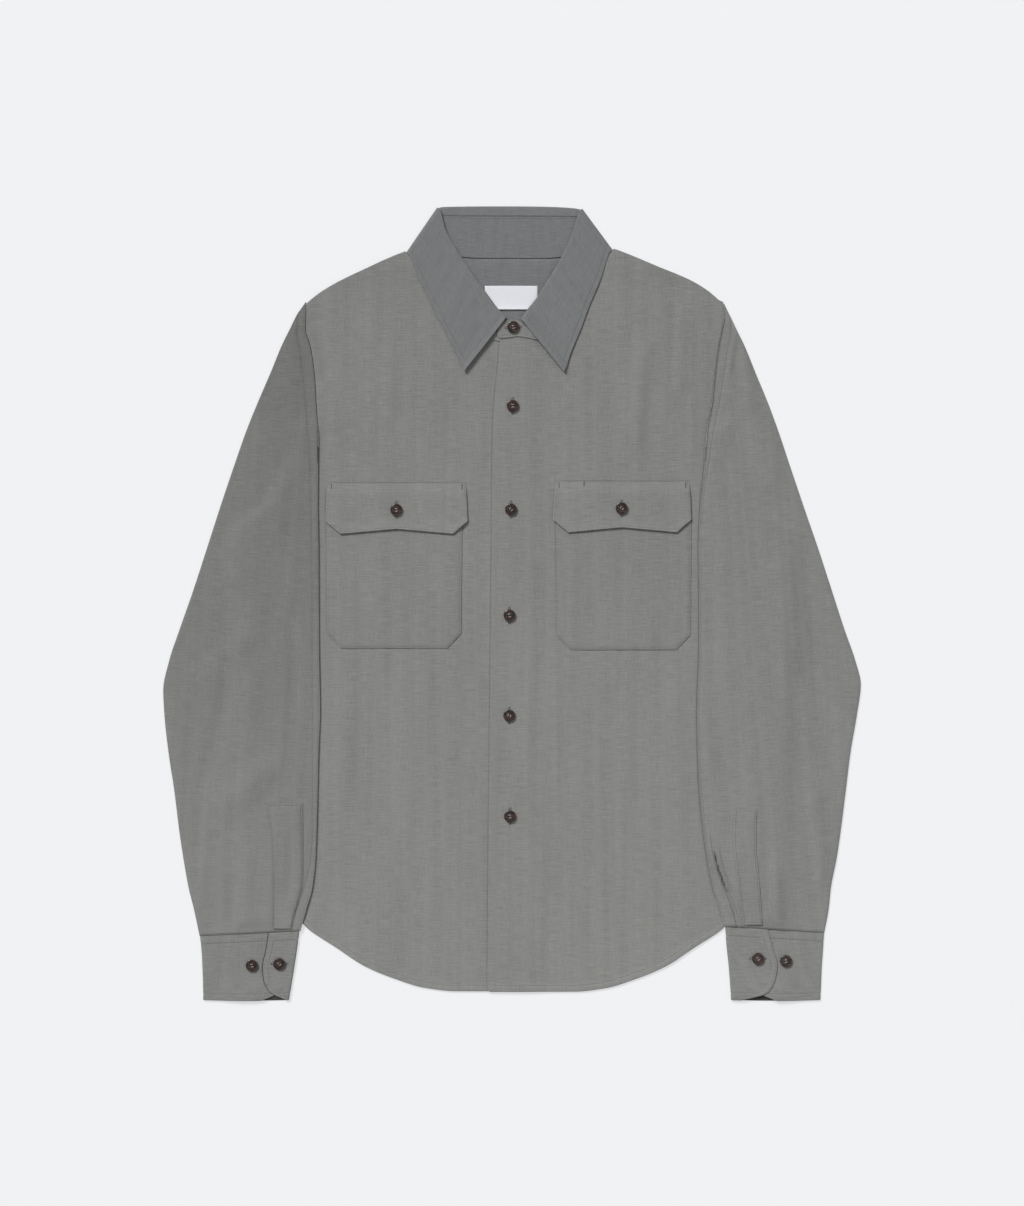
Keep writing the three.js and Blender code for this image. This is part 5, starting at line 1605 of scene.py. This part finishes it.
# Collar leaf
# The pointed fall of the collar, interfaced and so smoother and stiffer than the body. It turns
# over a roll line from the stand, lies under the neck at the back and folds forward at the
# sides, and its edge is stitched all round a few millimetres in.
TURN_IN_TOP = 2 * PLY + CLOTH
TURN_IN_LOW = 2 * PLY
LAP_END_LOW = 3 * PLY
LEAF_TURN_IN = 10.14
STAND_TOP = 10.2
ROLL_HEIGHT = 5.9
EDGE_HEIGHT = 5.0
LEAF_STITCH = 5.5
WING_LIFT = 2.6
WING_FADE = 4.5
TIP_ROUND = 3.5
STITCH_SUNK = 0.16


def spaced(table):
    """How far along a table of points each of its rows lies."""
    points = np.array([row[:4] for row in table], float)
    turn = np.array([row[4] for row in table], float)
    steps = np.abs(np.diff(points, axis=0)).sum(1) / 2 + np.abs(np.diff(turn)) / 12
    return np.concatenate(([0], np.cumsum(steps)))


collar_at = spaced(COLLAR[1:])


def collar_rows(at):
    """Collar rows at places along it: roll point, edge point, turn and neck distance."""
    return [through(collar_at, column(COLLAR, name), at)[:, None] for name in COLLAR[0]]


def collar_point(rows, distance, below, above):
    """Points on collar rows at a distance from the roll line, under the neck or on top."""
    roll_x, roll_y, edge_x, edge_y, turn = rows[:5]
    length = np.hypot(edge_x - roll_x, edge_y - roll_y)
    run_x, run_y = (edge_x - roll_x) / length, (edge_y - roll_y) / length
    turn = np.radians(turn)
    radius = (above - below) / 2
    outward = np.where(roll_x < 0, 1, -1) * radius * np.cos(turn)
    x = roll_x + run_x * distance + run_y * outward
    y = roll_y + run_y * distance - run_x * outward
    z = (above + below) / 2 + radius * np.sin(turn)
    return np.stack(np.broadcast_arrays(x, y, z), -1)


def leaf_drop(share):
    """The height of the fall's outer face on top, from the roll to the edge."""
    return ROLL_HEIGHT + (EDGE_HEIGHT - ROLL_HEIGHT) * np.clip(share, 0, 1)


def front_edge_distance(rows, distance):
    """How far points of the leaf lie from its front edges."""
    points = collar_point(rows, distance, 0, ROLL_HEIGHT)
    ends = [COLLAR[1], COLLAR[-1]]
    gaps = [distance_to([r[:2], r[2:4]], points[..., 0], points[..., 1]) for r in ends]
    on_wing = rows[4] > 45
    return np.where(on_wing, np.minimum(*gaps), 99)


def leaf_high(rows, distance, length):
    """The height of the fall's outer face, with its front edges lifted."""
    lift = WING_LIFT * np.exp(-front_edge_distance(rows, distance) / WING_FADE)
    return leaf_drop(distance / length) + lift


def leaf_sections(at):
    """The outer and inner faces of the leaf at places along it, and the cloth's own map."""
    rows = collar_rows(at)
    length = np.hypot(rows[2] - rows[0], rows[3] - rows[1])
    tip = np.clip(1 - np.minimum(at, collar_at[-1] - at) / TIP_ROUND, 0, 1)[:, None]
    length = length - TIP_ROUND * 0.8 * (1 - np.sqrt(1 - tip * tip))
    from_edge = np.array([9, 7.6, 6.6, 6.0, 5.5, 5.0, 4.4, 3.4, 2.4, 1.6, 1.1, 0.7, 0.35, 0.12, 0])
    share = np.linspace(0.03, 1, 20)
    fall = np.concatenate((share * (length - 10.5), length - from_edge), 1)
    edge = np.minimum(length - fall, front_edge_distance(rows, fall))
    turned = rounded(edge, CLOTH)
    sewn = groove(edge, LEAF_STITCH, 0.26)
    drop = leaf_high(rows, fall, length)
    outer = collar_point(rows, fall, turned + sewn, drop - turned - sewn)
    inner = collar_point(rows, fall, CLOTH - turned, drop - CLOTH + turned)
    front = front_edge_distance(rows, np.full_like(length, 5.0))
    thin = rounded(front, CLOTH)
    roll_turn = np.radians(np.linspace(70, -70, 9))
    middle, half = (ROLL_HEIGHT + TURN_IN_LOW) / 2, (ROLL_HEIGHT - TURN_IN_LOW) / 2
    roll_out = 1.5 * (1 - np.cos(roll_turn))
    rise = np.sin(roll_turn)
    roll = collar_point(
        rows, roll_out * np.ones_like(length), 1.15 - 1.15 * rise + thin, middle + half * rise - thin * rise
    )
    tuck = np.array([2.6, 4.4, 6.2, 7.6, 8.6, LEAF_TURN_IN]) * np.ones_like(length)
    tuck_low = collar_point(rows, tuck, PLY + CLOTH - thin, TURN_IN_LOW + thin)
    tuck_top = collar_point(rows, tuck[:, ::-1], PLY + thin, TURN_IN_TOP - thin)
    inner_roll = collar_point(
        rows, np.array([[2.6, 2.2, 2.6]]) * np.ones_like(length),
        PLY - np.array([[0.05, 0.15, 0.25]]), TURN_IN_TOP + np.array([[0.3, 0.8, 1.2]]),
    )
    return np.concatenate((outer[:, ::-1], roll, tuck_low, tuck_top, inner_roll, inner), 1)


LEAF_ENDS = np.array([0, 0.12, 0.35, 0.7, 1.1, 1.8, 2.8, 3.8, 4.8, 5.4, 6.0, 6.6, 7.4, 8.6, 10])
total = collar_at[-1]
leaf_at = np.unique(np.concatenate((
    LEAF_ENDS, np.arange(12, total - 12, 2.6), total - LEAF_ENDS[::-1],
    np.linspace(collar_at[6], collar_at[10], 22), np.linspace(collar_at[16], collar_at[20], 22),
)))
leaf_ring = leaf_sections(leaf_at)
rows_count, count = leaf_ring.shape[:2]

# How many points a ring has on its fall, round its roll and on its turned-in edge
FALL = 35
ROLL = 9
TUCK = 6
outer_side = list(range(FALL + ROLL + TUCK))
inner_side = list(range(count - 1, FALL + ROLL + TUCK - 1, -1))


def end_faces(first):
    """The faces that close one end of the leaf, between its outer and its inner side."""
    faces = []
    i = j = 0
    short, long = len(outer_side) - 1, len(inner_side) - 1
    while i < short or j < long:
        outer_next = j >= long or (i < short and (i + 1) * long <= (j + 1) * short)
        after = outer_side[i + 1] if outer_next else inner_side[j + 1]
        faces.append((first + outer_side[i], first + after, first + inner_side[j]))
        i, j = (i + 1, j) if outer_next else (i, j + 1)
    return faces


leaf_faces = ring_faces(rows_count, count) + turned_round(end_faces(0), 0)
leaf_faces += end_faces((rows_count - 1) * count)
widths = np.linalg.norm(np.diff(leaf_ring, axis=1, append=leaf_ring[:, :1]), axis=2)
across = np.concatenate((np.zeros((rows_count, 1)), np.cumsum(widths[:, :-1], axis=1)), 1)
leaf_uv = np.stack((np.broadcast_to(leaf_at[:, None], across.shape), across), -1).reshape(-1, 2)
leaf_cloth = cloth_material("leaf_cloth", on_uv=True, shade=0.82, cool=0.035)
leaf = object_of("collar_leaf_cloth", leaf_ring.reshape(-1, 3), leaf_faces, leaf_cloth, leaf_uv)
face_out(leaf)

rows = []
outer_places = np.arange(LEAF_STITCH + 2, total - LEAF_STITCH - 2, 1.5)
outer_rows = collar_rows(outer_places)
length = np.hypot(outer_rows[2] - outer_rows[0], outer_rows[3] - outer_rows[1])
distance = length - LEAF_STITCH
drop = leaf_high(outer_rows, distance, length) - STITCH_SUNK
path = collar_point(outer_rows, distance, 0.1, drop)[:, 0]
on_top_rows = outer_rows[4][:, 0] > 89
for wing in (path[on_top_rows & (path[:, 0] < 0)], path[on_top_rows & (path[:, 0] > 0)]):
    rows += stitches_along(wing)
for end, sign in ((0, 1), (total, -1)):
    places = end + sign * np.linspace(0, 14, 60)
    front = []
    for distance in np.linspace(6, 61, 40):
        near = collar_rows(places)
        gap = front_edge_distance(near, np.full((60, 1), distance))[:, 0]
        at = np.interp(LEAF_STITCH, gap, places)
        here = collar_rows(np.array([at]))
        length = float(np.hypot(here[2] - here[0], here[3] - here[1])[0, 0])
        if distance > length - LEAF_STITCH:
            break
        lift = WING_LIFT * math.exp(-LEAF_STITCH / WING_FADE)
        high = leaf_drop(distance / length) + lift - STITCH_SUNK
        front.append(collar_point(here, np.array([[distance]]), 0.1, high)[0, 0])
    rows += stitches_along(front)
leaf_length = float(np.linalg.norm(np.diff(leaf_ring[:, 0], axis=0), axis=1).sum())
leaf_area = float((widths.sum(1) / 2).mean() * leaf_length * 0.92)
NECK_REST = ("yoke_cloth", fronts[-1].name, fronts[1].name)
sewn_down(leaf, "collar_leaf", (float(widths.sum(1).max() / 2), leaf_length), leaf_area, NECK_REST, rows)


# Collar stand
# The upright band of the collar, laid down flat. It runs from its lower end round the neck to
# its lapping end, which is rounded and buttoned, and is sewn to the neckline with two rows.
STAND_UNDER_END = (
    ("topX", "topY", "bottomX", "bottomY", "low"),
    (-7, 281, -11, 262, TURN_IN_LOW),
    (0, 284, 0, 264, TURN_IN_LOW),
    (9, 282, 9, 265, TURN_IN_LOW),
)
STAND_LAP_END = (
    ("topX", "topY", "bottomX", "bottomY", "low"),
    (9.5, 280.5, 16, 265.4, LAP_END_LOW),
    (3, 284, 6, 266.8, LAP_END_LOW),
    (-5.5, 283.4, -5, 265.4, LAP_END_LOW),
    (-10.5, 281, -11, 264.8, LAP_END_LOW),
    (-13.4, 277.4, -13.8, 266.4, LAP_END_LOW),
    (-14.6, 273.6, -14.7, 269.4, LAP_END_LOW),
)


def end_corners(rows):
    """The four corners of the stand's section at each row of one of its ends."""
    return [
        [(*place, low + up) for up in (CLOTH, 0) for place in (row[:2], row[2:4])]
        for row in rows for low in row[4:]
    ]


def stand_corners():
    """The four corners of the stand's section at each of its rows: upper and lower edge of the
    outer face, then of the inner one."""
    corners = end_corners(STAND_UNDER_END[:0:-1])
    last = len(COLLAR) - 2
    for i, row in enumerate(COLLAR[1:]):
        lap = {last: PLY, last - 1: PLY * 0.45}.get(i, 0)
        cells = [np.array([[float(v)]]) for v in row]
        four = []
        for distance, below, above in (
            (STAND_TOP, PLY, TURN_IN_TOP + lap), (row[5], PLY, TURN_IN_TOP + lap),
            (STAND_TOP, PLY + CLOTH, TURN_IN_LOW + lap), (row[5], PLY + CLOTH, TURN_IN_LOW + lap),
        ):
            four.append(tuple(collar_point(cells, np.array([[distance]]), below, above)[0, 0]))
        corners.append(four)
    return np.array(corners + end_corners(STAND_LAP_END[1:]))


STAND_DEPTH = 34
STAND_STITCH = 1.8
STAND_ROWS = (0.05, 0.945)
ROWS_START = 60
LAP_END_TOP = 288
LAP_END_HALF = 24
corners = stand_corners()
steps = np.linalg.norm(np.diff(corners[:, :2].mean(1), axis=0), axis=1)
steps += np.linalg.norm(np.diff(corners[:, 1], axis=0), axis=1)
stand_at = np.concatenate(([0], np.cumsum(steps / 2)))
places = edged(0, stand_at[-1], 2.4)
smooth = np.stack([
    np.stack([through(stand_at, corners[:, c, k], places) for k in range(3)], -1) for c in range(4)
], 1)
share = edged(0, STAND_DEPTH, 2.2) / STAND_DEPTH
deep = np.linalg.norm(smooth[:, 1] - smooth[:, 0], axis=1)[:, None]
edge = np.minimum(
    np.minimum(share * deep * 8, (1 - share) * deep * 2),
    np.minimum(places, stand_at[-1] - places)[:, None],
)
turned = rounded(edge, CLOTH)[..., None] / CLOTH
sewn = groove((1 - share) * deep, STAND_STITCH, 0.15)[..., None] / CLOTH
outer = smooth[:, None, 0] + (smooth[:, None, 1] - smooth[:, None, 0]) * share[None, :, None]
inner = smooth[:, None, 2] + (smooth[:, None, 3] - smooth[:, None, 2]) * share[None, :, None]
across = inner - outer
stand_uv = np.stack((np.broadcast_to(places[:, None], edge.shape), share * deep), -1)
stand = grid_shell(
    "collar_stand_cloth", outer + across * (turned + sewn), inner - across * turned,
    cloth_material("stand_cloth", on_uv=True, shade=0.79, cool=0.04), stand_uv,
)
stand.data.materials.append(body_cloth)
for face in stand.data.polygons:
    x, y, _ = face.center / MM
    if y < LAP_END_TOP and abs(x) < LAP_END_HALF:
        face.material_index = 1
rows = []
for at in STAND_ROWS:
    line = outer + across * 0.02 if at > 0.5 else inner - across * 0.02
    column_at = int(np.argmin(np.abs(share - at)))
    line = line[:, column_at]
    seen = line[(places > ROWS_START) & (places < stand_at[-1] - ROWS_START)]
    rows += stitches_along(seen + np.array([0, 0, 0.1]))
stand_flat = (float(deep.max()), float(stand_at[-1]))
sewn_down(stand, "collar_stand", stand_flat, float(deep.mean() * stand_at[-1]), NECK_REST, rows)


# Label
# A small woven label with folded ends, sewn inside the yoke below the neck seam. It is plain.
LABEL = {"left": -27.3, "right": 25.5, "top": 317.8, "bottom": 294.1}
label_material, tree, shader = new_material("white_label", Roughness=0.55, Sheen_Weight=0.2)
ribs = object_noise(tree, (6, 0.35), 1.0)
rib_colour = blended(tree, ribs, (0.65, 0.655, 0.69, 1), (0.755, 0.765, 0.805, 1))
feed(tree, shader.inputs["Base Color"], rib_colour)
relief(tree, shader, ribs, 0.2, 0.08)
label_outline = [
    (LABEL["left"], LABEL["top"]), (LABEL["left"], LABEL["bottom"]),
    (LABEL["right"], LABEL["bottom"]), (LABEL["right"], LABEL["top"]),
]


def label_top(x, y):
    """The label's face: it dips at the stitched ends and bows a little between them."""
    ends = np.minimum(x - LABEL["left"], LABEL["right"] - x)
    lifted = 1.1 * np.exp((LABEL["bottom"] - y) / 3)
    return PLY + 0.6 + lifted - 0.2 * np.exp(-ends / 2) + 0.15 * np.sin((x - LABEL["left"]) / 12)


label = cloth_panel("label_cloth", label_outline, 1.6, label_top, label_material, wall=0.55)
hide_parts("label")
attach(label, "root")


# Buttons
# Four-hole horn buttons with a raised rim round a sunk middle, sewn on with doubled thread. On
# the front and the flaps they sit over upright buttonholes worked in thread. At the neck and on
# the cuffs' lapping ends the buttonholes run across.
BUTTON_D = 12
BUTTON_THICK = 2.6
BUTTON_EDGE = 0.55
HOLE_D = 1.5
HOLE_APART = 2.6
FRONT_BUTTONS = (
    ("x", "y", "spin"),
    (0.7, 197.5, 8), (-1, 94, 40), (-2.5, -12, 22), (-2.7, -112, 66), (-2, -212.7, 12),
)
CUFF_BUTTONS = (
    ("side", "number", "x", "y", "on", "spin"),
    (-1, 1, -260.1, -361.9, "under", 15),
    (-1, 2, -232.6, -360.1, "lap", 52),
    (1, 1, 245.8, -354.9, "lap", 35),
    (1, 2, 273.8, -357.4, "under", 5),
)
NECK_BUTTON = (1.3, 276.2)

# The rings of a button's upper face, from the rim inwards: how wide each is, and how far what
# lies inside it sinks
BUTTON_RINGS = ((0.63, 0), (0.77, 0), (0.6, 0.7), (1.1, 0.12))

HORN_TONES = ((0.42, (0.009, 0.008, 0.008, 1)), (0.68, (0.078, 0.035, 0.023, 1)))

horn, tree, shader = new_material("dark_horn", Roughness=0.22, Coat_Weight=0.5)
streaks = new_node(tree, "ShaderNodeValToRGB", Fac=object_noise(tree, (5, 1.6), 3.0))
for tone, (place, colour) in zip(streaks.color_ramp.elements, HORN_TONES):
    tone.position, tone.color = place, colour
feed(tree, shader.inputs["Base Color"], streaks.outputs["Color"])

bpy.ops.mesh.primitive_cylinder_add(
    vertices=48, radius=BUTTON_D / 2 * MM, depth=BUTTON_THICK * MM, location=(0, 0, BUTTON_THICK / 2 * MM)
)
button = bpy.context.object
button.name = "button_pattern"
bpy.ops.object.transform_apply(location=True, rotation=False, scale=False)
bpy.ops.object.mode_set(mode="EDIT")
bpy.ops.mesh.select_all(action="DESELECT")
bpy.ops.object.mode_set(mode="OBJECT")
for face in button.data.polygons:
    face.select = face.normal.z > 0.9
bpy.ops.object.mode_set(mode="EDIT")
for wide, sunk in BUTTON_RINGS:
    bpy.ops.mesh.inset(thickness=wide * MM)
    if sunk:
        bpy.ops.transform.translate(value=(0, 0, -sunk * MM))
bpy.ops.object.mode_set(mode="OBJECT")
for edge in button.data.edges:
    ends = [button.data.vertices[v].co / MM for v in edge.vertices]
    reaches = [math.hypot(end.x, end.y) for end in ends]
    level = abs(ends[0].z - ends[1].z) < 0.01 and abs(reaches[0] - reaches[1]) < 0.01
    edge.select = level and max(reaches) > BUTTON_D / 2 * 0.98
bpy.ops.object.mode_set(mode="EDIT")
bpy.ops.mesh.bevel(offset=BUTTON_EDGE * MM, segments=4)
bpy.ops.object.mode_set(mode="OBJECT")
for x in (-1, 1):
    for y in (-1, 1):
        bpy.ops.object.select_all(action="DESELECT")
        bpy.ops.mesh.primitive_cylinder_add(
            vertices=20, radius=HOLE_D / 2 * MM, depth=4 * BUTTON_THICK * MM,
            location=(x * HOLE_APART / 2 * MM, y * HOLE_APART / 2 * MM, 0),
        )
        drill = bpy.context.object
        hole = button.modifiers.new("hole", "BOOLEAN")
        hole.object = drill
        hole.operation = "DIFFERENCE"
        hole.solver = "MANIFOLD"
        bpy.context.view_layer.objects.active = button
        bpy.ops.object.modifier_apply(modifier="hole")
        bpy.data.objects.remove(drill)
for face in button.data.polygons:
    face.use_smooth = True
bpy.ops.object.select_all(action="DESELECT")
button.select_set(True)
bpy.context.view_layer.objects.active = button
bpy.ops.object.shade_smooth_by_angle(angle=math.radians(35))
button.data.materials.clear()
button.data.materials.append(horn)

THREAD_WIDE = 0.46
THREAD_APART = 0.22
THREAD_SUNK = 0.62
thread_stitches = []


def place_button(node, x, y, seat, spin):
    """A copy of the button at its node's place, turned by its own angle, with its thread."""
    copy = button.copy()
    copy.data = button.data.copy()
    copy.name = node + "_horn"
    bpy.context.collection.objects.link(copy)
    turn = math.radians(spin)
    for vertex in copy.data.vertices:
        px, py, pz = vertex.co
        vertex.co = (
            px * math.cos(turn) - py * math.sin(turn) + x * MM,
            px * math.sin(turn) + py * math.cos(turn) + y * MM,
            pz + (seat + GAP) * MM,
        )
    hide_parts(node)
    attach(copy, "root")
    height = seat + GAP + BUTTON_THICK - THREAD_SUNK
    run = np.array([math.cos(turn), math.sin(turn), 0.0])
    for row in (-HOLE_APART / 2, HOLE_APART / 2):
        for across in (row - THREAD_APART, row + THREAD_APART):
            centre = np.array([x - across * run[1], y + across * run[0], height])
            thread_stitches.append((centre, run, HOLE_APART + 1, THREAD_WIDE))


HOLE_LENGTH = 15.5
HOLE_GAP = 0.35

# A buttonhole's stitches along its sides and in its end bars: their height, length and width
HOLE_SIDE = (0.06, 1.3, 0.5)
HOLE_BAR = (0.1, 2.6, 0.55)
buttonhole_rows = []


def buttonhole(x, y, top, angle=90, length=HOLE_LENGTH):
    """A worked buttonhole: close stitches across both sides of a slit, and a bar at each end."""
    turn = math.radians(angle)
    run = np.array([math.cos(turn), math.sin(turn)])
    side_way = np.array([-run[1], run[0]])
    worked = []
    for at in np.arange(-length / 2, length / 2, 0.5):
        for side in (-1, 1):
            worked.append((run * at + side_way * side * (HOLE_GAP + 0.6), *HOLE_SIDE))
    for end in (-1, 1):
        for at in np.arange(0, 1.2, 0.45):
            worked.append((run * end * (length / 2 + at), *HOLE_BAR))
    for off, lift, long, wide in worked:
        place = np.array([x, y]) + off
        height = float(top(place[:1], place[1:])[0]) + lift
        buttonhole_rows.append((np.append(place, height), np.append(side_way, 0.0), long, wide))


def left_front_top(x, y):
    """The upper face of the front that laps over."""
    return front_top(1, x, y)


for i, (x, y, spin) in enumerate(FRONT_BUTTONS[1:]):
    seat = float(left_front_top(np.array([x]), np.array([y]))[0])
    place_button("button_front_" + str(i + 1), x, y, seat, spin)
    buttonhole(x, y, left_front_top)

for side, sizes in POCKETS.items():
    flap = sizes["flap"]
    y = flap["top"] - FLAP_BUTTON_DROP

    def on_flap(x, y, side=side, top=flap["top"]):
        return flap_low(side, top, x, y) + CLOTH

    seat = float(on_flap(np.array([flap["button"]]), np.array([y]))[0])
    place_button("button_flap_" + NAMES[side], flap["button"], y, seat, 30 + 20 * side)
    buttonhole(flap["button"], y, on_flap)

place_button("button_neck", *NECK_BUTTON, LAP_END_LOW + CLOTH, 20)
buttonhole(*NECK_BUTTON, lambda x, y: np.full(len(x), LAP_END_LOW + CLOTH), angle=4)

for side, number, x, y, on, spin in CUFF_BUTTONS[1:]:
    seat = CUFF_WALL + CUFF_PLY * (2 if on == "lap" else 1)
    place_button("button_cuff_" + NAMES[side] + "_" + str(number), x, y, seat, spin)
    if on == "lap":
        buttonhole(x, y, lambda x, y, seat=seat: np.full(len(x), seat), angle=0)

bpy.data.objects.remove(button)
button_thread = thread_material("button_thread", (0.34, 0.32, 0.31))
threads = stitching("button_threads", thread_stitches, button_thread, high=0.5)
hole_thread = thread_material("buttonhole_thread", (0.125, 0.125, 0.145))
stitching("buttonhole_threads", buttonhole_rows, hole_thread)
